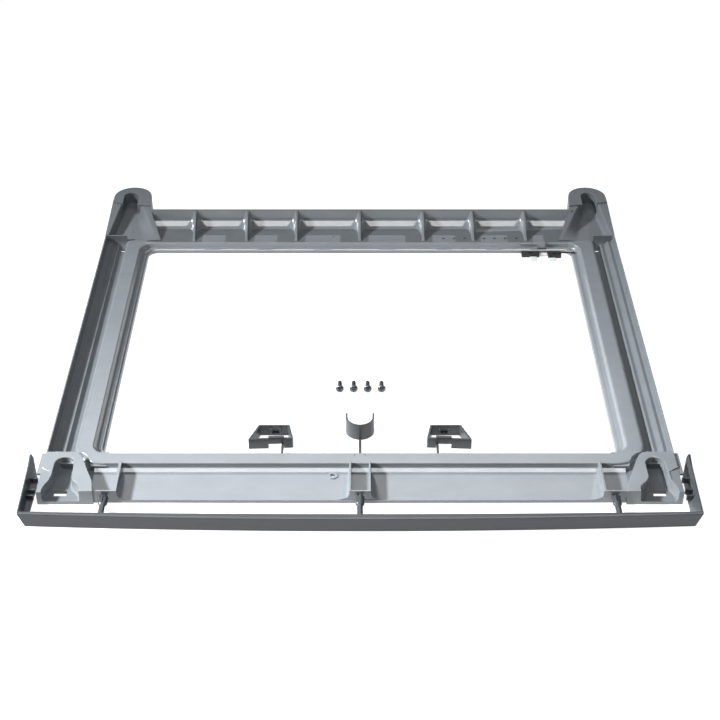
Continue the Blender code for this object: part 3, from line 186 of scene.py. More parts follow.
# Camera
LENS = 74.48
SENSOR = 36.0
CAMERA_PLACE = (0.0, -1.25465, 0.8600)
CAMERA_AIM = (0.0, -0.02645, 0.0)


def linear(code):
    """sRGB hex colour as linear red, green and blue."""
    values = [int(code[i:i + 2], 16) / 255 for i in (1, 3, 5)]
    return tuple(v / 12.92 if v <= 0.04045 else ((v + 0.055) / 1.055) ** 2.4 for v in values)


class KitFrameSizes(bpy.types.PropertyGroup):
    """Sizes of the frame moulding."""

    edge_round: bpy.props.FloatProperty(
        name="Edge round", description="Radius on the moulding's outer edges",
        default=0.5 * MM, unit="LENGTH", subtype="DISTANCE")
    rib_thickness: bpy.props.FloatProperty(
        name="Rib thickness", description="Thickness of a gusset rib",
        default=1.8 * MM, unit="LENGTH", subtype="DISTANCE")
    rib_flare: bpy.props.FloatProperty(
        name="Rib flare", description="Spread of a rib's foot where it meets the wall",
        default=12.0 * MM, unit="LENGTH", subtype="DISTANCE")
    pad_depth: bpy.props.FloatProperty(
        name="Pad length", description="Front to back size of a pad in the rear bays",
        default=15.5 * MM, unit="LENGTH", subtype="DISTANCE")


class KitFinishes(bpy.types.PropertyGroup):
    frame_colour: bpy.props.FloatVectorProperty(
        name="Frame", description="Colour of the frame moulding",
        subtype="COLOR", size=3, default=linear("#73797e"), min=0.0, max=1.0)
    trim_colour: bpy.props.FloatVectorProperty(
        name="Trim", description="Colour of the front trim",
        subtype="COLOR", size=3, default=linear("#3b3f43"), min=0.0, max=1.0)
    lock_colour: bpy.props.FloatVectorProperty(
        name="Locks", description="Colour of the loose locks and the sleeve",
        subtype="COLOR", size=3, default=linear("#3a3e41"), min=0.0, max=1.0)
    clip_colour: bpy.props.FloatVectorProperty(
        name="Clip", description="Colour of the cable clip",
        subtype="COLOR", size=3, default=linear("#1c1f21"), min=0.0, max=1.0)
    natural_colour: bpy.props.FloatVectorProperty(
        name="Natural nylon", description="Colour of the unpigmented clip parts",
        subtype="COLOR", size=3, default=linear("#d8dad9"), min=0.0, max=1.0)
    screw_colour: bpy.props.FloatVectorProperty(
        name="Screws", description="Colour of the zinc plating",
        subtype="COLOR", size=3, default=linear("#6a6d70"), min=0.0, max=1.0)


def sizes():
    """The frame's sizes as set in the sidebar."""
    return bpy.context.scene.stacking_kit_frame


def finishes():
    """The colours as set in the sidebar."""
    return bpy.context.scene.stacking_kit_finishes


def add_node(tree, kind, values=None, links=None):
    """Adds a shader node, sets its inputs and links them."""
    node = tree.nodes.new(kind)
    for name, value in (values or {}).items():
        node.inputs[name].default_value = value
    for name, source in (links or {}).items():
        tree.links.new(source, node.inputs[name])
    return node


def principled(name):
    """A new material, with its node tree, its shader and the Object coordinates."""
    material = bpy.data.materials.new(name)
    material.use_nodes = True
    tree = material.node_tree
    place = add_node(tree, "ShaderNodeTexCoord").outputs["Object"]
    return material, tree, tree.nodes["Principled BSDF"], place


def noise(tree, place, width, **values):
    """The value of a noise texture whose features are this many millimetres wide."""
    values["Scale"] = 1 / (width * MM)
    return add_node(tree, "ShaderNodeTexNoise", values, {"Vector": place}).outputs["Fac"]


def vary_gloss(tree, shader, value, smooth, rough):
    """Moves the shader's roughness between two bounds."""
    gloss = add_node(tree, "ShaderNodeMapRange", {"To Min": smooth, "To Max": rough},
                     {"Value": value})
    tree.links.new(gloss.outputs["Result"], shader.inputs["Roughness"])


def add_bump(tree, shader, value, strength, depth):
    """Bumps the surface by so many millimetres."""
    bump = add_node(tree, "ShaderNodeBump", {"Strength": strength, "Distance": depth * MM},
                    {"Height": value})
    tree.links.new(bump.outputs["Normal"], shader.inputs["Normal"])


def moulded_polymer(name, colour, roughness, grain=0.35, grain_depth=0.03,
                    streaks=(1.0, 1.0, 1.0), sheen=0.9):
    """Injection-moulded ABS, with its grain and the grain's depth in millimetres."""
    material, tree, shader, place = principled(name)
    # Flow marks some 22 mm wide: the grey drifts by a few percent, so no face looks painted
    along = add_node(tree, "ShaderNodeMapping", {"Scale": streaks}, {"Vector": place}).outputs[0]
    flow = noise(tree, along, 22, Detail=3.0, Roughness=0.6)
    tint = add_node(tree, "ShaderNodeValToRGB", {}, {"Fac": flow})
    for element, position, shade in zip(tint.color_ramp.elements, (0.35, 0.68), (0.95, 1.05)):
        element.position = position
        element.color = (*[c * shade for c in colour], 1.0)
    tree.links.new(tint.outputs["Color"], shader.inputs["Base Color"])
    # Haze some 6 mm wide: the semi-gloss skin mirrors the lamps a little unevenly
    haze = noise(tree, place, 6, Detail=4.0, Roughness=0.65)
    vary_gloss(tree, shader, haze, roughness - 0.05, roughness + 0.07)
    # Spark-eroded grain: it takes the edge off each highlight. The real grain is some 0.05 mm
    # wide, too fine to show, so it is drawn coarser
    add_bump(tree, shader, noise(tree, place, grain, Detail=2.0), 0.25, grain_depth)
    shader.inputs["IOR"].default_value = 1.53
    shader.inputs["Specular IOR Level"].default_value = sheen
    return material


def zinc_plated_steel(name, colour):
    """Zinc plating on steel screws."""
    material, tree, shader, place = principled(name)
    shader.inputs["Base Color"].default_value = (*colour, 1.0)
    shader.inputs["Metallic"].default_value = 1.0
    # Clouds in the plating, 1.2 mm wide: the metal shines in some places and is dull in others
    vary_gloss(tree, shader, noise(tree, place, 1.2, Detail=3.0), 0.26, 0.48)
    # Zinc crystals: a fine sparkle. They are finer than 0.15 mm and are drawn coarser to show
    add_bump(tree, shader, noise(tree, place, 0.15), 0.15, 0.01)
    return material


def plain_nylon(name, colour, roughness, milkiness):
    """Moulded nylon, black or unpigmented."""
    material, tree, shader, place = principled(name)
    shader.inputs["Base Color"].default_value = (*colour, 1.0)
    # Light goes 1.5 mm into unpigmented nylon, which makes it look milky
    shader.inputs["Subsurface Weight"].default_value = milkiness
    shader.inputs["Subsurface Scale"].default_value = 1.5 * MM
    # A swirl 2.5 mm wide: the waxy shine is uneven
    swirl = noise(tree, place, 2.5, Detail=3.0, Distortion=0.8)
    vary_gloss(tree, shader, swirl, roughness - 0.08, roughness + 0.1)
    return material


def skin(loops, closed=False):
    """Draws a closed line out through the lines that follow, one extrusion each, and caps both ends."""
    shape = bmesh.new()
    verts = [shape.verts.new(point) for point in loops[0]]
    edges = [shape.edges.new(pair) for pair in zip(verts, verts[1:] + verts[:1])]
    first = list(edges)
    for loop in loops[1:]:
        grown = bmesh.ops.extrude_edge_only(shape, edges=edges)["geom"]
        twins = {tuple(item.co): item for item in grown if isinstance(item, bmesh.types.BMVert)}
        verts = [twins[tuple(vert.co)] for vert in verts]
        edges = [shape.edges.get(pair) for pair in zip(verts, verts[1:] + verts[:1])]
        for vert, point in zip(verts, loop):
            vert.co = point
    if closed:
        bmesh.ops.remove_doubles(shape, verts=shape.verts, dist=0.001 * MM)
    else:
        bmesh.ops.triangulate(shape, faces=shape.faces)
        bmesh.ops.contextual_create(shape, geom=first)
        bmesh.ops.contextual_create(shape, geom=edges)
    bmesh.ops.recalc_face_normals(shape, faces=shape.faces)
    return shape


def box(low, high, edge=0.0, segments=2):
    """A box between two corners with all its edges rounded."""
    low, high = Vector(low), Vector(high)
    for axis in range(3):
        low[axis], high[axis] = min(low[axis], high[axis]), max(low[axis], high[axis])
    shape = bmesh.new()
    place = Matrix.Translation((low + high) / 2) @ Matrix.Diagonal((*(high - low), 1.0))
    bmesh.ops.create_cube(shape, size=1.0, matrix=place)
    if edge:
        bmesh.ops.bevel(shape, geom=shape.edges, offset=edge, segments=segments, profile=0.5,
                        affect="EDGES", material=-1)
    return shape


def block(x, half, near, far, low, high, edge=0.0, segments=2):
    """A box that reaches equally far to both sides of x."""
    return box((x - half, near, low), (x + half, far, high), edge, segments)


def together(*shapes):
    """Several shapes in one."""
    whole = bmesh.new()
    for shape in shapes:
        mesh = bpy.data.meshes.new("part")
        shape.to_mesh(mesh)
        shape.free()
        whole.from_mesh(mesh)
        bpy.data.meshes.remove(mesh)
    return whole


def mirrored(shape):
    twin = shape.copy()
    bmesh.ops.scale(twin, vec=(-1, 1, 1), verts=twin.verts)
    bmesh.ops.reverse_faces(twin, faces=twin.faces)
    return twin


def both_sides(shape):
    """The shape and its mirror image."""
    return together(shape, mirrored(shape))


def as_object(name, shape):
    """A new object from a shape."""
    mesh = bpy.data.meshes.new(name)
    shape.to_mesh(mesh)
    shape.free()
    piece = bpy.data.objects.new(name, mesh)
    bpy.context.scene.collection.objects.link(piece)
    return piece


def as_shape(piece):
    """Takes an object back into a shape and removes it."""
    shape = bmesh.new()
    shape.from_mesh(piece.data)
    bpy.data.objects.remove(piece)
    return shape


def combine(piece, shape, operation):
    """Joins, cuts or crosses a piece with a shape and keeps the result."""
    tool = as_object(piece.name + "_tool", shape)
    modifier = piece.modifiers.new("combine", "BOOLEAN")
    modifier.operation = operation
    modifier.solver = "EXACT"
    modifier.object = tool
    bpy.context.view_layer.update()
    graph = bpy.context.evaluated_depsgraph_get()
    made = bpy.data.meshes.new_from_object(piece.evaluated_get(graph))
    before = piece.data
    piece.modifiers.clear()
    piece.data = made
    made.name = before.name
    bpy.data.meshes.remove(before)
    bpy.data.objects.remove(tool)
    if not made.polygons:
        raise RuntimeError(f"nothing is left of {piece.name}")


def settle(piece, material, body, nodes, angle=32):
    """Cleans a piece's mesh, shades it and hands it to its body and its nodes."""
    shape = bmesh.new()
    shape.from_mesh(piece.data)
    bmesh.ops.remove_doubles(shape, verts=shape.verts, dist=0.002 * MM)
    bmesh.ops.dissolve_degenerate(shape, edges=shape.edges, dist=0.001 * MM)
    shape.to_mesh(piece.data)
    shape.free()
    piece.data.materials.clear()
    piece.data.materials.append(material)
    piece.data.shade_smooth()
    piece.data.set_sharp_from_angle(angle=math.radians(angle))
    weighted = piece.modifiers.new("flats", "WEIGHTED_NORMAL")
    weighted.keep_sharp = True
    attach(piece, body)
    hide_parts(*nodes)


def between(low, high, share):
    """A value between two others."""
    return low + (high - low) * share


def arc(centre, radius, start, end, steps):
    """Points on an arc, angles in degrees."""
    points = []
    for i in range(steps + 1):
        angle = math.radians(start + (end - start) * i / steps)
        points.append((centre[0] + radius * math.cos(angle), centre[1] + radius * math.sin(angle)))
    return points


def sharp(points):
    """The points as an outline without rounded corners."""
    return [(x, y, 0.0) for x, y in points]


def in_mm(points, across=0.0, up=0.0):
    """An outline in metres from one in millimetres that is measured from a place."""
    outline = []
    for a, b, radius in points:
        radius = tuple(leg * MM for leg in radius) if isinstance(radius, tuple) else radius * MM
        outline.append((across + a * MM, up + b * MM, radius))
    return outline


def levels(base, *pairs):
    """Levels above a base for stacked(), from (height, distance) pairs in millimetres."""
    return [(base + up * MM, out * MM) for up, out in pairs]


def softened(points, steps=SOFT_STEPS):
    """An outline with its corners rounded, as (a, b) points; a pair of radii is one per leg."""
    soft = []
    for i, (a, b, radius) in enumerate(points):
        here = Vector((a, b))
        last = Vector(points[i - 1][:2]) - here
        following = Vector(points[(i + 1) % len(points)][:2]) - here
        before, after = radius if isinstance(radius, tuple) else (radius, radius)
        if not before:
            soft.append((a, b))
            continue
        start = here + last.normalized() * before
        end = here + following.normalized() * after
        for k in range(steps + 1):
            t = k / steps
            soft.append(tuple(start * (1 - t) ** 2 + here * 2 * t * (1 - t) + end * t ** 2))
    return soft


def let_out(points, distance):
    """An outline moved outwards, its corner radii adjusted to suit."""
    count = len(points)
    places = [Vector(point[:2]) for point in points]
    area = sum(places[i - 1].cross(places[i]) for i in range(count))
    sign = math.copysign(1.0, area)
    moved = []
    for i, here in enumerate(places):
        before = (here - places[i - 1]).normalized()
        after = (places[(i + 1) % count] - here).normalized()
        out_a = Vector((before.y, -before.x)) * sign
        out_b = Vector((after.y, -after.x)) * sign
        bisector = (out_a + out_b).normalized()
        share = max(0.4, bisector.dot(out_a))
        turn = math.copysign(math.sqrt(max(0.0, 1 / share ** 2 - 1)), before.cross(after) * sign)
        place = here + bisector * (distance / share)
        radius = points[i][2]
        if radius:
            legs = radius if isinstance(radius, tuple) else (radius, radius)
            radius = tuple(max(0.05 * MM, leg + distance * turn) for leg in legs)
        moved.append((place.x, place.y, radius))
    return moved


def stacked(points, levels, steps=SOFT_STEPS):
    """Solid of one outline at several (height, distance) levels, each moved out by its distance."""
    return skin([[(x, y, z) for x, y in softened(let_out(points, out), steps)] for z, out in levels])


def prism(points, low, high, edge, steps=SOFT_STEPS):
    """Upright solid of an outline between two heights with its top edge rounded."""
    return stacked(points, [(low, 0.0), (high - edge, 0.0), (high - edge * 0.3, -edge * 0.3),
                            (high, -edge)], steps)


def disc(x, y, radius, low, high):
    """An upright round bar between two heights."""
    return stacked(sharp(arc((x, y), radius, 0, 345, 23)), [(low, 0.0), (high, 0.0)])


def beam(section, start, end):
    """A section of (y, height) points drawn along X."""
    return skin([[(x, y, z) for y, z in section] for x in (start, end)])


def turned(profile, sides):
    """An outline of (radius, height, rounding) points turned around Z."""
    shape = bmesh.new()
    verts = [shape.verts.new((max(0.0, radius), 0, z)) for radius, z in softened(profile, 4)]
    edges = [shape.edges.new(pair) for pair in zip(verts, verts[1:])]
    bmesh.ops.spin(shape, geom=verts + edges, cent=(0, 0, 0), axis=(0, 0, 1), angle=math.tau,
                   steps=sides, use_merge=True)
    bmesh.ops.remove_doubles(shape, verts=shape.verts, dist=0.001 * MM)
    bmesh.ops.recalc_face_normals(shape, faces=shape.faces)
    return shape


def opening_line(side, front, rear, height):
    """The opening's rounded outline let out by one distance per side."""
    radius = OPENING_RADIUS + min(side, front, rear)
    x, low, high = OPEN_X + side, OPEN_FRONT - front, OPEN_REAR + rear
    corners = ((x - radius, high - radius, 0), (-x + radius, high - radius, 90),
               (-x + radius, low + radius, 180), (x - radius, low + radius, 270))
    points = []
    for across, along, start in corners:
        points += arc((across, along), radius, start, start + 90, CORNER_STEPS)
    return [(px, py, height) for px, py in points]


def ring_section(ring, edge, drop):
    """Section of the ring: lip, ledge, coved step, flange and outer wall, then the hollow under it."""
    ledge, step, flange = ring
    foot = LIP_DRAFT + ledge
    inner = foot + step
    outer = inner + flange
    cove = min(2.4 * MM, ledge * 0.6)
    climb = min(2.6 * MM, math.hypot(step, FLANGE - LEDGE) * 0.5)
    return softened([
        (0.0, 0.0, 0.0), (LIP_DRAFT, LEDGE - 1.5 * MM, 0.5 * MM),
        (LIP_DRAFT + 1.7 * MM, LEDGE, 0.4 * MM), (foot, LEDGE, (cove, climb)),
        (inner, FLANGE, 0.9 * MM), (outer, FLANGE, edge), (outer + drop, 0.0, 0.0),
        (outer - WALL, 0.0, 0.0), (outer - WALL, FLANGE - WALL - edge[1] / 2, 0.0),
        (outer - WALL - edge[0], FLANGE - WALL, 0.0), (inner + WALL / 2, FLANGE - WALL, 0.0),
        (foot + WALL / 2, LEDGE - WALL, 0.0), (LIP_DRAFT + LIP_WALL, LEDGE - WALL, 0.0),
        (LIP_WALL, 0.0, 0.0)])


def ring_shape():
    """The continuous ring around the opening."""
    side = ring_section(SIDE_RING, (3.4 * MM, 2.8 * MM), 0.5 * MM)
    front = ring_section(FRONT_RING, (0.9 * MM, 0.9 * MM), 0.1 * MM)
    rear = ring_section(REAR_RING, (0.9 * MM, 0.9 * MM), 0.1 * MM)
    loops = []
    for (side_out, z), (front_out, _), (rear_out, _) in zip(side, front, rear):
        loops.append(opening_line(side_out, front_out, rear_out, z))
    return skin(loops + [loops[0]], closed=True)


def channel_section(rim):
    """Section of the right channel: two terraces, thin rim and outer wall, then underneath."""
    terraces = in_mm([
        (-1.6, 4.4, 0), (0.1, 4.4, 0), (0.8, 3.0, (0.9, 1.3)), (6.1, 3.3, (2.6, 1.6)),
        (8.5, 6.4, 0.6), (12.3, 5.8, (1.5, 1.5)), (16.1, 10.0, 0.7), (20.1, 9.3, (1.3, 2.0))],
        FLANGE_X)
    outside = [(FLANGE_X + 22.0 * MM, rim, 0.35 * MM), (FLANGE_X + 23.4 * MM, rim, 0.45 * MM),
               (HALF_WIDTH, 0.0, 0.0), (HALF_WIDTH - WALL, 0.0, 0.0)]
    under = in_mm([(20.5, 7.6, 0), (16.9, 7.2, 0), (15.7, 4.8, 0), (10.3, 4.0, 0), (7.3, 0.7, 0),
                   (-1.6, 0.7, 0)], FLANGE_X)
    return softened(terraces + outside + under)


def channel_shape():
    """The right channel beside the flange; its rim rises to the rear."""
    ends = ((POCKET_REAR - 3 * MM, RIM_HEIGHT), (GUIDE_Y + 3 * MM, RIM_REAR_HEIGHT))
    return skin([[(x, y, z) for x, z in channel_section(rim)] for y, rim in ends])


def front_floor_shape():
    """Floor plate in front of the ring, with a coved foot and a slightly bowed front edge."""
    reach = POCKET_INNER + 5 * MM
    root = LIP_DRAFT + sum(FRONT_RING)
    foot = in_mm([(-1.6, 8.2, 0), (0.05, 8.2, 0), (0.7, 6.2, 0.9), (5.5, 3.2, (1.2, 2.6)),
                  (9.0, 3.0, 0)], root)
    steps = 16
    loops = []
    for i in range(steps + 1):
        x = -reach + 2 * reach * i / steps
        front = OPEN_FRONT - APRON_Y + 0.7 * MM * (1 - (x / reach) ** 2)
        section = softened(foot + [
            (front, FLOOR, 0.35 * MM), (front + 0.1 * MM, 0.0, 0.0), (front - WALL, 0.0, 0.0),
            (front - WALL, UNDER_FLOOR, 0.0), (root - 1.6 * MM, UNDER_FLOOR, 0.0)])
        loops.append([(x, OPEN_FRONT - out, z) for out, z in section])
    return skin(loops)


def rear_wall_shape():
    """Tilted bay floor, deep cove and upright rear wall."""
    reach = RIDGE_REAR + 1 * MM
    (foot, foot_back), (head, head_back) = COVE_FOOT, COVE_HEAD
    low = FLANGE - 1.4 * MM
    return beam(softened([
        *in_mm([(1.2, -1.4, 0), (1.2, -0.1, 0), (2.4, 0.15, 0)], BAY_FRONT, FLANGE),
        (BAY_REAR + foot_back, foot, (3.4 * MM, 1.6 * MM)),
        (BAY_REAR + head_back, head, (1.6 * MM, 3.2 * MM)),
        (BAY_REAR + WALL_LEAN, TOP_HEIGHT, 0.4 * MM), (BAY_REAR + 4.0 * MM, TOP_HEIGHT, 0.5 * MM),
        (BAY_REAR + 5.4 * MM, 0.0, 0.0), (BAY_REAR + 3.0 * MM, 0.0, 0.0),
        (BAY_REAR + 1.0 * MM, low, 0.0)], steps=8), -reach, reach)


def bay_surface(height):
    """How far back the rear bays' cove and wall lie at a height."""
    corners = (COVE_FOOT, COVE_HEAD, (TOP_HEIGHT, WALL_LEAN))
    for (low, near), (high, far) in zip(corners, corners[1:]):
        if height < high:
            return BAY_REAR + between(near, far, max(0.0, (height - low) / (high - low)))
    return BAY_REAR + WALL_LEAN


def rib_shape(x):
    """A gusset rib whose sides flare into the wall, wider towards its foot."""
    half = sizes().rib_thickness / 2
    toe, crest = BAY_FRONT + 4.5 * MM, BAY_REAR - 6.5 * MM
    low, top, foot = FLANGE - 1.0 * MM, TOP_HEIGHT - 0.8 * MM, FLANGE + 1.2 * MM
    steps = 12
    loops = []
    for i in range(steps + 1):
        share = i / steps
        z = between(low, top, share)
        front = between(toe, crest, max(0.0, (z - foot) / (top - foot)) ** 0.9)
        lean = bay_surface(z) + 1.0 * MM
        near, far = lean - 0.8 * MM, lean + 0.2 * MM
        flare = sizes().rib_flare * (1 - share) + 1.2 * MM
        reach = min(flare * 1.4, (lean - front) * 0.8)
        thick = half + 2.6 * MM * max(0.0, 1 - (z - FLANGE) / (4.5 * MM)) ** 2
        slim = between(half, thick, 0.3)
        spread = thick + flare + 0.5 * MM
        plan = softened([
            (slim, front, 0.3 * MM), (thick, near, (reach, flare)), (spread, near, 0.0),
            (spread, far, 0.0), (-spread, far, 0.0), (-spread, near, 0.0),
            (-thick, near, (flare, reach)), (-slim, front, 0.3 * MM)])
        loops.append([(x + across, y, z) for across, y in plan])
    return skin(loops)


def rib_shapes():
    """The middle rib and three on each side."""
    ribs = [rib_shape(0.0)]
    for share in RIB_PLACE_SHARES:
        ribs += [rib_shape(-share * RAIL_END), rib_shape(share * RAIL_END)]
    return together(*ribs)


def pocket_outline():
    """Plan of the right front foot pocket."""
    points = [(POCKET_OUTER, FRONT_Y, 0.5 * MM), (POCKET_OUTER, POCKET_REAR, 3.0 * MM)]
    for across, back in POCKET_EDGE_SHARES:
        soft = 0.0 if back in (0.0, 1.0) else 1.4 * MM
        points.append((POCKET_OUTER - POCKET_WIDTH * across, FRONT_Y + POCKET_DEPTH * back, soft))
    return points


def slot_outline():
    """Plan of the right pocket's keyed slot: round eye, straight neck and an S-shaped flare."""
    eye = sharp(arc((SLOT_X, SLOT_EYE_Y), SLOT_RADIUS, 0, 180, 18))
    left = in_mm([(0, 18.0, 5.0), (-9.6, 7.5, 5.0), (-9.9, -2.0, 0)], SLOT_X - SLOT_RADIUS, FRONT_Y)
    right = in_mm([(6.4, -2.0, 0), (6.2, 7.0, 5.0), (0, 20.0, 5.0)], SLOT_X + SLOT_RADIUS, FRONT_Y)
    return eye + left + right


def pocket_body():
    """Hollow body of the right front pocket, with a wall left standing around its slot."""
    outline = pocket_outline()
    body = as_object("pocket", prism(outline, 0.0, RIM_HEIGHT, sizes().edge_round))
    hollow = as_object("hollow", stacked(outline, [(-OVERRUN, -WALL), (RIM_HEIGHT - WALL, -WALL)]))
    around = WALL * 1.4
    combine(hollow, stacked(slot_outline(), [(-2 * OVERRUN, around), (TOP_HEIGHT, around)]), CUT)
    combine(body, as_shape(hollow), CUT)
    return as_shape(body)


def groove_cutter():
    """Air beside the right pocket's inner rear edge, with soft shoulders."""
    air = as_object("groove", stacked(pocket_outline(), levels(
        0.0, (4.2, 3.6), (4.6, 4.4), (5.4, 5.0), (8.6, 5.4), (9.6, 5.9), (11.0, 7.6))))
    combine(air, box((BED_INNER, FRONT_Y, 0.0), (FLANGE_X, OPEN_REAR, TOP_HEIGHT)), CROSS)
    return as_shape(air)


def slot_cutter():
    """Air of the right pocket's slot: coved at its foot and rounded at its rim."""
    foot = levels(FLOOR, (0, -2.6), (0.3, -1.5), (1.1, -0.7), (2.6, -0.2))
    rim = levels(RIM_HEIGHT, (-0.8, 0), (-0.25, 0.2), (0.1, 0.8), (2.0, 0.9))
    return stacked(slot_outline(), foot + rim)


def panel_cutter():
    """Air above the sloping outer arm of the right pocket's plate."""
    inner, outer, front = ARM_INNER, HALF_WIDTH + OVERRUN, FRONT_Y - OVERRUN
    foot = [(inner, FRONT_Y + 27.4 * MM, RIM_HEIGHT - 0.5 * MM),
            (outer, FRONT_Y + 36.5 * MM, RIM_HEIGHT - 1.5 * MM),
            (outer, front, RIM_HEIGHT - 1.6 * MM), (inner, front, RIM_HEIGHT - 0.6 * MM)]
    return skin([foot, [(x, y, TOP_HEIGHT) for x, y, _ in foot]])


def lobe_outline():
    """Plan of the right rear foot pocket."""
    return sharp([(POCKET_OUTER, GUIDE_Y)] + arc((LOBE_X, LOBE_Y), LOBE_RADIUS, 0, 180, 36)
                 + [(RIDGE_REAR, LOBE_Y - 30 * MM), (RIDGE_FRONT, GUIDE_Y)])


def funnel_station(share):
    """Section of the air above the right funnel, from its mouth (0) to the arms (1)."""
    floor = between(FLANGE, EYE_FLOOR, share ** 1.6)
    high = TOP_HEIGHT - 1.4 * MM
    rim = between(RIM_REAR_HEIGHT, high, share)
    ridge = between(FLANGE + 0.6 * MM, high, min(1.0, share * 1.16))
    trough = between(6.6 * MM, 13.2 * MM, share)
    brow, foot, inner, crest = (
        HALF_WIDTH - between(mouth, arms, share) * MM
        for mouth, arms in ((4.5, 13.5), (7.5, 15.7), (44.0, 32.0), (61.3, 36.0)))
    outer, last, top = HALF_WIDTH + OVERRUN, RIDGE_FRONT - OVERRUN, TOP_HEIGHT + OVERRUN
    section = softened([
        (outer, top, 0.0), (outer, rim, 0.0), (brow, rim, 1.2 * MM), (foot, trough, 2.4 * MM),
        (HALF_WIDTH - 27.1 * MM, floor, 1.2 * MM), (inner, floor, 2.6 * MM),
        (crest, ridge, 1.6 * MM), (last, ridge - 0.2 * MM, 0.0), (last, top, 0.0)], 4)
    place = between(GUIDE_Y - OVERRUN, ARMS_Y, share)
    skew = 6.8 / 34.5 * share * share * (3 - 2 * share)
    return [(x, place + (x - HALF_WIDTH + 44 * MM) * skew, z) for x, z in section]


def lobe_body():
    """Hollow body of the right rear pocket with its funnel, its eye and the channel's end."""
    edge = sizes().edge_round
    outline = lobe_outline()
    body = as_object("lobe", stacked(outline, [
        (0.0, 0.0), (TOP_HEIGHT - edge * 1.4, 0.0), (TOP_HEIGHT - edge * 0.4, -edge * 0.4),
        (TOP_HEIGHT, -edge * 1.4)]))
    combine(body, stacked(outline, [(-OVERRUN, -WALL), (4.2 * MM, -WALL)]), CUT)
    stations = 14
    combine(body, skin([funnel_station(i / stations) for i in range(stations + 1)]), CUT)
    root = ARMS_Y - EYE_RADIUS
    eye = ([(EYE_X + EYE_RADIUS, root)] + arc((EYE_X, LOBE_Y), EYE_RADIUS, 0, 180, 20)
           + [(EYE_X - EYE_RADIUS, root)])
    foot = levels(EYE_FLOOR, (0, -1.6), (0.5, -0.7), (1.8, 0))
    rim = levels(TOP_HEIGHT, (-0.7, 0), (-0.1, 0.4), (2.0, 0.5))
    combine(body, stacked(sharp(eye), foot + rim), CUT)
    combine(body, channel_end(), JOIN)
    return as_shape(body)


def channel_end():
    """Wall that ends the right channel at the funnel's mouth, coved on the channel's side."""
    top = RIM_REAR_HEIGHT - 0.3 * MM
    crest = [(GUIDE_Y + 1.8 * MM, 2.0 * MM, 0.0), (GUIDE_Y + 1.8 * MM, top, 0.5 * MM),
             (GUIDE_Y + 0.1 * MM, top, 0.5 * MM)]
    cove = in_mm([(-0.2, 5.2, (7.0, 4.0)), (-5.0, 2.6, 0), (-5.0, 2.0, 0)], GUIDE_Y)
    return beam(softened(crest + cove), FLANGE_X - 0.6 * MM, HALF_WIDTH - 1.4 * MM)


def pad_cutters():
    """Air above the flat pads that are pressed into the sloping floor of the rear bays."""
    near = BAY_FRONT + 2.2 * MM
    far = near + sizes().pad_depth
    return together(*[
        box((left, near, FLANGE + 0.15 * MM), (right, far, FLANGE + 4 * MM), 0.3 * MM)
        for left, right in PAD_PLACES])


def pit_cutters():
    """Air of the small square pits in the right half of the rear bays."""
    near = BAY_FRONT + 9.8 * MM
    return together(*[
        block(x, 1.8 * MM, near, near + 2.8 * MM, FLANGE - 1.6 * MM, FLANGE + 5 * MM, 0.3 * MM)
        for x in PIT_PLACES])


def cell_walls():
    """Walls of the centre box and of the peg cells, for the right side."""
    return together(*[
        box((face - thick, APRON_Y + 0.05 * MM, CELL_FOOT), (face, FLANGE_FRONT + 0.9 * MM, CELL),
            0.35 * MM)
        for face, thick in (CENTRE_WALL, CELL_WALL)])


def cell_fronts():
    """Front plates of the centre box and of both peg cells."""
    near, far, top = APRON_Y + 0.02 * MM, APRON_Y + 1.8 * MM, CELL - 0.02 * MM
    fronts = [block(0.0, 9.5 * MM, near, far, CELL_FOOT, top, 0.3 * MM)]
    for side in (-1, 1):
        fronts.append(box((side * (RAIL_END - 0.4 * MM), near, CELL_FOOT),
                          (side * (POCKET_INNER + 2.6 * MM), far, top), 0.3 * MM))
    return together(*fronts)


def wall_cove(face, way):
    """Cove where a wall meets the front floor, wider to the front; way 1 is right of the wall."""
    foot, under = FLOOR - 0.05 * MM, FLOOR - 1 * MM
    steps = 8
    loops = []
    for i in range(steps + 1):
        share = i / steps
        wide, tall = between(1.5 * MM, 14 * MM, share), between(5.0 * MM, 6.5 * MM, share)
        section = softened([
            (-0.4 * MM, under, 0.0), (-0.4 * MM, FLOOR + tall, 0.0), (0.1 * MM, FLOOR + tall, 0.0),
            (0.15 * MM, foot, (tall * 0.95, wide * 0.95)), (wide, foot, 0.0), (wide, under, 0.0)], 8)
        y = between(FLANGE_FRONT - 3 * MM, APRON_Y + 0.3 * MM, share)
        loops.append([(face + way * out, y, z) for out, z in section])
    return skin(loops)


def hole_cutters():
    """Air of the peg holes, the floor holes, the drains and the boss's bore."""
    cuts = []
    for x in (-PEG_X, 0.0, PEG_X):
        cuts.append(block(x, 4.35 * MM, APRON_Y - 4 * MM, APRON_Y + 5.4 * MM,
                          PEG_HEIGHT - 3.25 * MM, PEG_HEIGHT + 3.25 * MM, 1.8 * MM, 4))
    for side in (-1, 1):
        cuts.append(block(side * (HALF_WIDTH - 19.8 * MM), 6 * MM, FRONT_Y + 7.7 * MM,
                          FRONT_Y + 14.3 * MM, -OVERRUN, FLOOR + OVERRUN, 0.5 * MM))
        cuts.append(block(side * (OPEN_X + 29.25 * MM), 2.85 * MM, GUIDE_Y - 12.5 * MM,
                          GUIDE_Y - 7.0 * MM, -OVERRUN, 8 * MM, 0.5 * MM))
    cuts.append(disc(BOSS_X, BOSS_Y, 2.4 * MM, -OVERRUN, CELL))
    return together(*cuts)


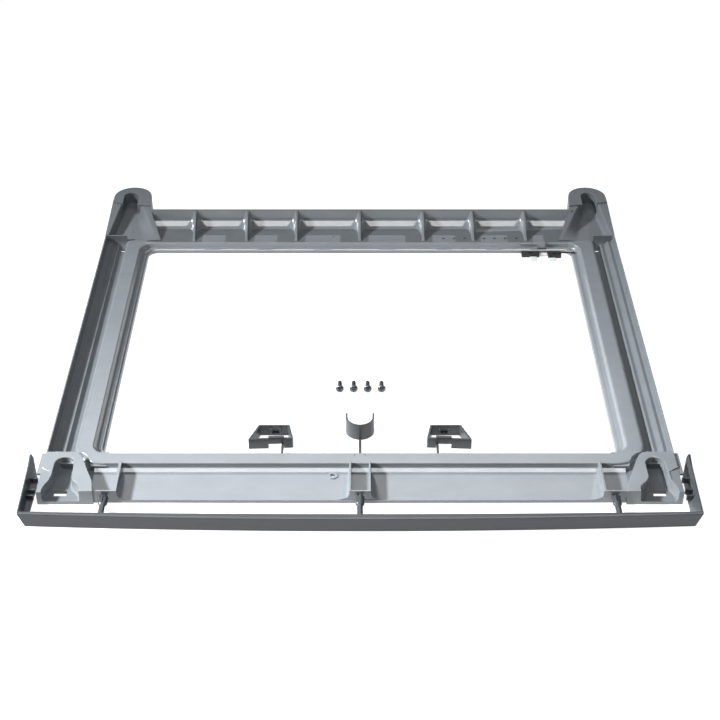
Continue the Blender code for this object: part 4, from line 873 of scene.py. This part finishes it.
def small_marks():
    """Air of the small sunk marks on the front flange, in one rear bay and along the rear ledge."""
    marks = []
    for x in (-4.9 * MM, 4.9 * MM):
        marks.append(disc(x, OPEN_FRONT - 9 * MM, 0.7 * MM, FLANGE - 0.5 * MM, FLANGE + OVERRUN))
    bay = BAY_FRONT + 14 * MM
    marks.append(block(-29.2 * MM, 1.4 * MM, bay, bay + 1.6 * MM, FLANGE - 0.5 * MM,
                       FLANGE + 4 * MM, 0.4 * MM))
    for left, right in PAD_PLACES:
        marks.append(block((left + right) / 2, 9 * MM, OPEN_REAR + 1.2 * MM, OPEN_REAR + 2.4 * MM,
                           LEDGE - 0.7 * MM, LEDGE + 1.0 * MM, 0.3 * MM))
    return together(*marks)


def grain_and_shade_faces(piece, bay_grain_and_shade, channel_grain_and_shade):
    """Gives the rear bays' sloping floor, the channels, the slots and the rear plates their coarser
    grain and a darker grey, which is painted shade.
    """
    front = BAY_FRONT + 1.5 * MM
    piece.data.materials.append(bay_grain_and_shade)
    piece.data.materials.append(channel_grain_and_shade)
    for face in piece.data.polygons:
        x, y, z = face.center
        aside = abs(x)
        bay = aside < RAIL_END and front < y < front + 27 * MM
        if bay and face.normal.z > 0.95 and FLANGE + 0.2 * MM < z < FLANGE + 3 * MM:
            face.material_index = 1
        beside = aside > FLANGE_X + 0.4 * MM and POCKET_REAR < y < GUIDE_Y
        channel = beside and z < RIM_HEIGHT - 1 * MM
        slot = aside > HALF_WIDTH - POCKET_WIDTH and y < POCKET_REAR and z < FLOOR + 2 * MM
        lobe = z > TOP_HEIGHT - 2 * MM or (y > GUIDE_Y and aside > RIDGE_FRONT)
        if channel or slot or lobe:
            face.material_index = 2


class KIT_OT_frame(bpy.types.Operator):
    """Models the frame moulding in one piece."""

    bl_idname = "stacking_kit.frame"
    bl_label = "Frame moulding"

    def execute(self, context):
        bed = box((BED_INNER, OPEN_FRONT - 23 * MM, 2 * MM),
                  (FLANGE_X - 1 * MM, OPEN_FRONT - 2.4 * MM, FLANGE - 2 * MM))
        fill = box((POCKET_INNER + 4 * MM, FRONT_Y + 14 * MM, UNDER_FLOOR),
                   (OPEN_X + 18 * MM, OPEN_FRONT - 21 * MM, FLOOR - 0.02 * MM))
        eye_rear = SLOT_EYE_Y + SLOT_RADIUS
        shelf = block(SLOT_X, 6.4 * MM, eye_rear - 2.4 * MM, eye_rear + 1.5 * MM, FLOOR - 1 * MM,
                      9.4 * MM, 0.5 * MM)
        ear = box((HALF_WIDTH - 2.4 * MM, POCKET_REAR - 30 * MM, 11.2 * MM),
                  (HALF_WIDTH + 2.8 * MM, POCKET_REAR - 0.3 * MM, 13.4 * MM), 0.5 * MM)
        clip_seat = box((OPEN_X - 37.3 * MM, OPEN_REAR + 1.8 * MM, 3.3 * MM),
                        (OPEN_X - 28.3 * MM, OPEN_REAR + 6.0 * MM, 12.2 * MM), 0.5 * MM)
        moulding = as_object("frame_moulding", ring_shape())
        for shape, operation in (
                (both_sides(channel_shape()), JOIN), (front_floor_shape(), JOIN),
                (rear_wall_shape(), JOIN), (both_sides(bed), JOIN), (both_sides(fill), JOIN),
                (both_sides(groove_cutter()), CUT), (both_sides(pocket_body()), JOIN),
                (both_sides(cell_walls()), JOIN), (cell_fronts(), JOIN),
                (both_sides(wall_cove(CENTRE_WALL[0], 1)), JOIN),
                (both_sides(wall_cove(CELL_WALL[0] - CELL_WALL[1], -1)), JOIN),
                (disc(BOSS_X, BOSS_Y, 4.6 * MM, 1.8 * MM, 3.7 * MM), JOIN),
                (pad_cutters(), CUT), (pit_cutters(), CUT), (rib_shapes(), JOIN),
                (both_sides(lobe_body()), JOIN), (both_sides(slot_cutter()), CUT),
                (both_sides(panel_cutter()), CUT), (both_sides(shelf), JOIN),
                (both_sides(ear), JOIN), (clip_seat, JOIN), (hole_cutters(), CUT),
                (small_marks(), CUT)):
            combine(moulding, shape, operation)
        grey = finishes().frame_colour
        smooth = moulded_polymer("moulded_abs_mid_grey", grey, 0.22, streaks=(0.5, 1.0, 1.0))
        nodes = ["front_rail", "rear_rail", "left_rail", "right_rail", "front_left_pocket",
                 "front_right_pocket", "rear_left_pocket", "rear_right_pocket"]
        settle(moulding, smooth, "frame", nodes, 30)
        # Deeper erosion in the bays and the channels makes them duller; their darker grey is painted
        # shade, also on the slots and the rear plates
        grained_and_shaded = moulded_polymer("grained_abs_painted_shade_grey", [c * 0.55 for c in grey], 0.5,
                                  grain=0.6, grain_depth=0.08, sheen=0.35)
        eroded_and_shaded = moulded_polymer("eroded_abs_painted_shade_grey", [c * 0.75 for c in grey], 0.5,
                                 grain=0.5, grain_depth=0.06, sheen=0.25)
        grain_and_shade_faces(moulding, grained_and_shaded, eroded_and_shaded)
        return {"FINISHED"}


def trim_section():
    """Section of the trim as (depth, height): outer face, two lips and the inside."""
    inside = TRIM_HEIGHT - TRIM_WALL
    return softened([
        (0.0, 0.0, 0.8 * MM), (0.0, TRIM_HEIGHT - 1.1 * MM, 0.5 * MM),
        (1.9 * MM, TRIM_HEIGHT, 0.4 * MM), (TRIM_LIP, TRIM_HEIGHT, 0.35 * MM),
        (TRIM_LIP, inside, 0.3 * MM), (TRIM_WALL, inside, 0.0), (TRIM_WALL, TRIM_WALL, 0.0),
        (TRIM_LIP, TRIM_WALL, 0.3 * MM), (TRIM_LIP, 0.0, 0.3 * MM)], 4)


def trim_point(kind, value, depth, height):
    """Where a section point lies: on the front at a share of its half width, on the right corner
    at an angle, or on the right wing at a Y."""
    shallow = min(depth, TRIM_WALL)
    past = max(0.0, depth - TRIM_WALL)
    lip_share = past / (TRIM_LIP - TRIM_WALL)
    lip_y = TRIM_END + TRIM_WALL + lip_share * (LIP_CENTRE + LIP_BOW - TRIM_BOW - TRIM_WALL)
    if kind == "wing":
        low = WING_RISE * max(0.0, (value - TRIM_END - WING_LENGTH + WING_RUN) / WING_RUN)
        height = low + height * (TRIM_HEIGHT - low) / TRIM_HEIGHT
    half = TRIM_HALF - TRIM_TAPER * (1 - height / TRIM_HEIGHT)
    if kind == "front":
        face = TRIM_END - TRIM_BOW * (1 - value ** 2)
        lip = TRIM_FRONT + LIP_CENTRE + LIP_BOW * value ** 2
        reach = half - TRIM_CORNER if shallow < TRIM_WALL else half - TRIM_WALL
        return (value * reach, face + shallow + lip_share * (lip - face - TRIM_WALL), height)
    if kind == "corner":
        if depth >= TRIM_WALL:
            return (half - TRIM_WALL - past * 0.005, max(lip_y, TRIM_END + TRIM_WALL), height)
        radius = TRIM_CORNER - shallow
        angle = math.radians(value)
        return (half - TRIM_CORNER + radius * math.cos(angle),
                TRIM_END + TRIM_CORNER + radius * math.sin(angle), height)
    flare = WING_FLARE * (value - TRIM_END) / WING_LENGTH
    y = max(value, lip_y if past else TRIM_END + shallow)
    return (half + flare - shallow - past * 0.005, y, height)


def trim_strip():
    """The bowed strip with both wings, drawn in one piece from wing tip to wing tip."""
    tip = TRIM_END + WING_LENGTH
    root = tip - WING_RUN
    side = [("wing", y) for y in (
        tip, tip - 0.3 * MM, between(tip, root, 0.5), root + 0.3 * MM, root - 0.3 * MM,
        between(root, TRIM_END, 0.5), TRIM_END + TRIM_LIP, TRIM_END + TRIM_CORNER)]
    side += [("corner", angle) for angle in (0.0, -22.5, -45.0, -67.5, -90.0)]
    steps = 48
    front = [("front", 1 - 2 * i / steps) for i in range(steps + 1)]
    section = trim_section()
    loops = [[trim_point(*place, depth, z) for depth, z in section] for place in side + front]
    loops += [[(-x, y, z) for x, y, z in loop] for loop in reversed(loops[:len(side)])]
    kept = []
    for loop in loops:
        if kept and all((Vector(a) - Vector(b)).length < 0.001 * MM for a, b in zip(kept[-1], loop)):
            continue
        kept.append(loop)
    return skin(kept)


def peg_shape(x):
    """Split snap peg: round foot, neck and a barrel head with a conical nose."""
    base = TRIM_FRONT + TRIM_BOW * (x / TRIM_HALF) ** 2 + TRIM_WALL / 2
    tip = APRON_Y + 3.7 * MM
    length = tip - base
    head = length - 14.7 * MM
    foot = TRIM_WALL + 0.4 * MM
    shape = turned([
        *in_mm([(0, 0, 0), (1.7, 0, 0.5), (2.9, -4.2, 1.5)], 0.0, length),
        *in_mm([(2.9, 0.6, 0.8), (1.95, -0.5, 0.5)], 0.0, head),
        *in_mm([(1.95, 2.0, 1.2), (3.4, 0, 0.8)], 0.0, foot),
        *in_mm([(3.4, 0, 0), (0, 0, 0)])], 32)
    bmesh.ops.transform(shape, verts=shape.verts, matrix=(
        Matrix.Translation((x, base, PEG_HEIGHT)) @ Matrix.Rotation(-math.pi / 2, 4, "X")
        @ Matrix.Diagonal((1.38, 1.0, 1.0, 1.0))))
    peg = as_object("peg", shape)
    combine(peg, block(x, 0.5 * MM, tip - 13 * MM, tip + OVERRUN, 0.0, CELL), CUT)
    return as_shape(peg)


def wing_face(back, height):
    """Distance of a wing's outer face from the middle, so far behind the corner and so high."""
    taper = TRIM_TAPER * (1 - height / TRIM_HEIGHT)
    return TRIM_HALF - taper + WING_FLARE * back / WING_LENGTH


def hook_shapes():
    """Three small hooks that reach from the right wing towards the frame."""
    low, inner = 5 * MM, HALF_WIDTH + WING_GAP
    hooks = []
    for back in (28.5 * MM, 36.5 * MM, 52 * MM):
        outer = wing_face(back, low) - 0.2 * MM
        hooks.append(box((inner, TRIM_END + back, low),
                         (outer, TRIM_END + back + 2.2 * MM, 10.5 * MM), 0.45 * MM))
    return together(*hooks)


def left_shade_ledge():
    """Narrow dark ledge inside the left wing, which closes the gap beside the pocket from above; it is
    painted shade, a dark strip where the hooks' shadow falls.
    """
    start, low = 9 * MM, 6 * MM
    return box((-wing_face(start, low) + 0.2 * MM, TRIM_END + start, low),
               (-HALF_WIDTH - WING_GAP, TRIM_END + 50 * MM, low + 1.4 * MM), 0.3 * MM)


class KIT_OT_trim(bpy.types.Operator):
    """Models the front trim with its wings, hooks and snap pegs."""

    bl_idname = "stacking_kit.trim"
    bl_label = "Front trim"

    def execute(self, context):
        trim = as_object("trim_moulding", trim_strip())
        combine(trim, both_sides(hook_shapes()), JOIN)
        # The left ledge is painted shade: a dark strip where the hooks' shadow falls
        combine(trim, left_shade_ledge(), JOIN)
        combine(trim, together(peg_shape(-PEG_X), peg_shape(0.0), peg_shape(PEG_X)), JOIN)
        material = moulded_polymer("moulded_abs_dark_grey", finishes().trim_colour, 0.30,
                                   streaks=(0.2, 1.0, 1.0), sheen=0.45)
        settle(trim, material, "trim", ["front_trim"], 30)
        return {"FINISHED"}


def lock_front(x):
    """Outer face of the right lock's slanted front wall."""
    share = (x - LOCK_LOW.x) / (LOCK_HIGH.x - LOCK_LOW.x)
    return LOCK_LOW.y + 2 * MM * (1 - share)


def lock_shape():
    """Right foot lock: a trapezoid ring with a raised, notched front wall and a hooked prong."""
    left, right, rear = LOCK_LOW.x, LOCK_HIGH.x, LOCK_HIGH.y
    outline = [(left, lock_front(left), LOCK_ROUND), (right, lock_front(right), LOCK_ROUND),
               (right - 9.1 * MM, rear, LOCK_ROUND), (left + 3.9 * MM, rear, LOCK_ROUND)]
    edge = 0.4 * MM
    body = as_object("lock", prism(outline, 0.0, LOCK_HEIGHT, edge))
    near, far = left + 8.7 * MM, left + 23 * MM
    pad = [(x, lock_front(x) + back * MM, 0.4 * MM)
           for x, back in ((near, 0.2), (far, 0.2), (far, 3.4), (near, 3.4))]
    combine(body, stacked(outline, [
        (-OVERRUN, -LOCK_WALL), (LOCK_HEIGHT - edge, -LOCK_WALL),
        (LOCK_HEIGHT - edge * 0.3, -LOCK_WALL + edge * 0.3), (LOCK_HEIGHT, -LOCK_WALL + edge),
        (LOCK_HEIGHT + OVERRUN, -LOCK_WALL + edge)]), CUT)
    combine(body, prism(pad, 4.8 * MM, LOCK_HEIGHT + 1.3 * MM, edge), JOIN)
    combine(body, box((near, lock_front(far) - OVERRUN, -OVERRUN),
                      (far, lock_front(near) + 4.4 * MM, 5 * MM)), CUT)
    middle, spread = left + 17 * MM, 4.2 * MM
    wall = rear - LOCK_WALL / 2
    front = rear - LOCK_WALL - 2.6 * MM
    prongs = []
    for x in (middle - spread, middle + spread):
        prongs.append(block(x, 0.75 * MM, front, wall, 2.5 * MM, 9.2 * MM, 0.3 * MM))
        prongs.append(block(x, 0.75 * MM, front - 0.9 * MM, front + 0.8 * MM, 7.6 * MM, 9.2 * MM,
                            0.3 * MM))
    prongs.append(block(middle, spread, front + 0.2 * MM, wall, 2.7 * MM, 4.1 * MM, 0.3 * MM))
    for prong in prongs:
        combine(body, prong, JOIN)
    return as_shape(body)


def sleeve_shape():
    """Half-round sleeve, open to the rear, with a rib down its front."""
    radius, leg, height = SLEEVE_HIGH
    inside, centre = radius - SLEEVE_WALL, (0, leg - 6 * MM)
    soft, edge = 0.4 * MM, 0.3 * MM
    outline = ([(radius, leg, soft)] + sharp(arc(centre, radius, 0, -180, 40))
               + [(-radius, leg, soft), (-inside, leg, soft)]
               + sharp(arc(centre, inside, -180, 0, 40)) + [(inside, leg, soft)])
    body = as_object("sleeve", prism(outline, 0.0, height, edge, 3))
    front = SLEEVE_LOW.y
    combine(body, block(0.0, 1.35 * MM, front, front + SLEEVE_WALL, edge, height - edge,
                        0.35 * MM), JOIN)
    return as_shape(body)


class KIT_OT_locks(bpy.types.Operator):
    """Models the two foot locks, the half sleeve and the break-off runners."""

    bl_idname = "stacking_kit.locks"
    bl_label = "Foot locks, sleeve and runners"

    def execute(self, context):
        material = moulded_polymer("moulded_abs_satin_grey", finishes().lock_colour, 0.33,
                                   sheen=0.5)
        right = lock_shape()
        shapes = [("lock_right", "foot_lock_right", right),
                  ("lock_left", "foot_lock_left", mirrored(right)),
                  ("sleeve", "half_sleeve", sleeve_shape())]
        for name in ("runner_left", "runner_right", "runner_centre"):
            shapes.append((name.replace("runner", "sprue"), name, box(*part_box(name), 0.5 * MM)))
        for name, node, shape in shapes:
            settle(as_object(name, shape), material, "frame", [node])
        return {"FINISHED"}


def screw_core():
    """Body of a pan-head screw along Z: pointed core, domed head and cross recess."""
    top = SCREW_LENGTH + HEAD_HEIGHT
    core = as_object("screw_core", turned([
        (0.0, top, 0.0), (1.9 * MM, top - 0.15 * MM, 1.0 * MM),
        (HEAD_RADIUS - 0.5 * MM, top - 1.0 * MM, 0.9 * MM),
        (HEAD_RADIUS, SCREW_LENGTH + 0.8 * MM, 0.4 * MM),
        (HEAD_RADIUS - 0.15 * MM, SCREW_LENGTH, 0.2 * MM),
        (SCREW_ROOT + 0.25 * MM, SCREW_LENGTH, 0.2 * MM),
        (SCREW_ROOT, SCREW_LENGTH - 0.8 * MM, 0.2 * MM), (SCREW_ROOT, SCREW_POINT, 0.8 * MM),
        (0.0, 0.0, 0.0)], 32))
    # The recess: two bars that taper downwards, as half sizes in millimetres
    for foot, mouth in (((1.32, 0.36), (2.2, 0.45)), ((0.36, 1.32), (0.45, 2.2))):
        loops = []
        for (a, b), z in ((foot, top - 1.5 * MM), (mouth, top + 0.4 * MM)):
            loops.append([(x * a * MM, y * b * MM, z)
                          for x, y in ((-1, -1), (1, -1), (1, 1), (-1, 1))])
        combine(core, skin(loops), CUT)
    return as_shape(core)


def screw_thread():
    """Helical ridge around the screw's core, fading out at both ends."""
    steps = 20
    turns = (SCREW_LENGTH - 3.2 * MM) / SCREW_PITCH
    loops = []
    for i in range(int(turns * steps) + 1):
        angle = math.tau * i / steps
        z = 1.6 * MM + SCREW_PITCH * i / steps
        core = SCREW_ROOT * min(1.0, z / SCREW_POINT)
        root = core - 0.15 * MM
        fade = min(1.0, i / steps, turns - i / steps + 0.05)
        crest = core + (SCREW_CREST - SCREW_ROOT) * fade
        ridge = ((root, z - 0.42 * SCREW_PITCH), (crest, z - 0.05 * MM), (crest, z + 0.05 * MM),
                 (root, z + 0.42 * SCREW_PITCH))
        loops.append([(r * math.cos(angle), r * math.sin(angle), h) for r, h in ridge])
    return skin(loops)


class KIT_OT_screws(bpy.types.Operator):
    """Models the four loose pan-head screws, which rest on their heads and their threads."""

    bl_idname = "stacking_kit.screws"
    bl_label = "Screws"

    def execute(self, context):
        steel = zinc_plated_steel("zinc_plated_steel", finishes().screw_colour)
        near = SCREW_POINT + SCREW_PITCH / 2
        far = SCREW_LENGTH + HEAD_HEIGHT / 4
        tilt = math.atan((HEAD_RADIUS - SCREW_CREST) / (far - near))
        rise = SCREW_RISE + SCREW_CREST * math.cos(tilt) - near * math.sin(tilt)
        for number in range(1, 5):
            low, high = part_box(f"screw_{number}")
            shape = together(screw_core(), screw_thread())
            place = Matrix.Translation(((low.x + high.x) / 2, high.y, rise))
            turn = Matrix.Rotation(number * 0.7, 4, "Z")
            bmesh.ops.transform(shape, verts=shape.verts, matrix=(
                place @ Matrix.Rotation(math.pi / 2 - tilt, 4, "X") @ turn))
            settle(as_object(f"pan_head_{number}", shape), steel, "frame", [f"screw_{number}"],
                   40)
        return {"FINISHED"}


class KIT_OT_clip(bpy.types.Operator):
    """Models the cable clip: strap, housings, bridge, tabs and tail."""

    bl_idname = "stacking_kit.clip"
    bl_label = "Cable clip"

    def execute(self, context):
        black = plain_nylon("black_nylon_66", finishes().clip_colour, 0.38, 0.0)
        milky = plain_nylon("natural_nylon_66", finishes().natural_colour, 0.32, 0.25)
        for name, edge, material, slot in (
                ("clip_strap", 0.25, black, "black_nylon"),
                ("clip_housing_a", 0.6, black, "black_nylon"),
                ("clip_housing_b", 0.6, black, "black_nylon"),
                ("clip_tail", 0.4, black, "black_nylon"),
                ("clip_bridge", 0.4, milky, "natural_nylon"),
                ("clip_tab_a", 0.45, milky, "natural_nylon"),
                ("clip_tab_b", 0.45, milky, "natural_nylon")):
            low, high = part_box(name)
            piece = as_object(name.replace("clip", "cable"), box(low, high, edge * MM, 3))
            if "housing" in name:
                self.cut_window(piece, low, high)
            settle(piece, material, "frame", [name])
        return {"FINISHED"}

    def cut_window(self, piece, low, high):
        """Cuts the latch window into a housing's top."""
        combine(piece, block((low.x + high.x) / 2, 2.2 * MM, low.y + 2.4 * MM, low.y + 4.6 * MM,
                             high.z - 1.2 * MM, high.z + OVERRUN, 0.2 * MM), CUT)


class KIT_OT_stage(bpy.types.Operator):
    """Sets the pale floor, the soft studio lights and the camera."""

    bl_idname = "stacking_kit.stage"
    bl_label = "Studio"

    def execute(self, context):
        scene = context.scene
        floor = as_object("studio_floor", box((-3.0, -3.0, -0.02), (3.0, 3.0, -0.0001)))
        # Matt paper lit from within: it stays white and takes only a faint shadow
        paper = bpy.data.materials.new("matt_white_paper")
        paper.use_nodes = True
        for socket, value in (("Base Color", (0.3, 0.3, 0.3, 1.0)), ("Roughness", 0.9),
                              ("Emission Color", (1.0, 1.0, 1.0, 1.0)), ("Emission Strength", 0.92)):
            paper.node_tree.nodes["Principled BSDF"].inputs[socket].default_value = value
        floor.data.materials.append(paper)
        world = bpy.data.worlds.new("soft_studio")
        world.use_nodes = True
        sky = world.node_tree.nodes["Background"]
        sky.inputs["Color"].default_value = (1.0, 1.0, 1.0, 1.0)
        sky.inputs["Strength"].default_value = 0.03
        scene.world = world
        key = self.light("key_left", (-1.90, -0.20, 1.28), (0.0, -0.44, 0.0), 0.22, 0.22, 14.0)
        key.spread = math.radians(48)
        self.light("fill_right", (1.3, 0.0, 0.75), (0.0, 0.0, 0.0), 0.4, 0.4, 2.0)
        self.light("back", (-0.12, 1.64, 1.72), (0.0, -0.1, 0.0), 1.7, 0.72, 8.0)
        self.light("overhead", (0.0, -0.58, 1.7), (0.0, 0.1, 0.0), 1.8, 0.24, 14.0)
        lens = bpy.data.cameras.new("camera")
        lens.lens = LENS
        lens.sensor_width = SENSOR
        scene.camera = self.aimed("camera", lens, CAMERA_PLACE, CAMERA_AIM)
        scene.view_settings.view_transform = "Standard"
        return {"FINISHED"}

    def aimed(self, name, data, place, target):
        """A new light or camera object at a place, turned to a target."""
        holder = bpy.data.objects.new(name, data)
        bpy.context.scene.collection.objects.link(holder)
        holder.location = place
        aim = Vector(target) - Vector(place)
        holder.rotation_euler = aim.to_track_quat("-Z", "Y").to_euler()
        return holder

    def light(self, name, place, target, wide, tall, power):
        """An area light that looks at a target."""
        lamp = bpy.data.lights.new(name, "AREA")
        lamp.shape = "RECTANGLE"
        lamp.size, lamp.size_y = wide, tall
        lamp.energy = power
        self.aimed(name, lamp, place, target)
        return lamp


class KIT_PT_panel(bpy.types.Panel):
    bl_label = "Stacking kit"
    bl_idname = "KIT_PT_panel"
    bl_space_type = "VIEW_3D"
    bl_region_type = "UI"
    bl_category = "Stacking kit"

    def draw(self, context):
        column = self.layout.column()
        for operator in OPERATORS:
            column.operator(operator.bl_idname)
        for group in (sizes(), finishes()):
            for name in group.__annotations__:
                column.prop(group, name)


OPERATORS = (KIT_OT_frame, KIT_OT_trim, KIT_OT_locks, KIT_OT_screws, KIT_OT_clip, KIT_OT_stage)
GROUPS = (KitFrameSizes, KitFinishes)


def register():
    """Registers the classes and hangs the settings on the scene."""
    for item in (*GROUPS, *OPERATORS, KIT_PT_panel):
        bpy.utils.register_class(item)
    bpy.types.Scene.stacking_kit_frame = bpy.props.PointerProperty(type=KitFrameSizes)
    bpy.types.Scene.stacking_kit_finishes = bpy.props.PointerProperty(type=KitFinishes)


def unregister():
    """Takes the settings and the classes away."""
    del bpy.types.Scene.stacking_kit_finishes
    del bpy.types.Scene.stacking_kit_frame
    for item in (KIT_PT_panel, *reversed(OPERATORS), *reversed(GROUPS)):
        bpy.utils.unregister_class(item)


def main():
    """Makes every piece and the studio."""
    register()
    bpy.ops.stacking_kit.frame()
    bpy.ops.stacking_kit.trim()
    bpy.ops.stacking_kit.locks()
    bpy.ops.stacking_kit.screws()
    bpy.ops.stacking_kit.clip()
    bpy.ops.stacking_kit.stage()


if __name__ == "__main__":
    main()
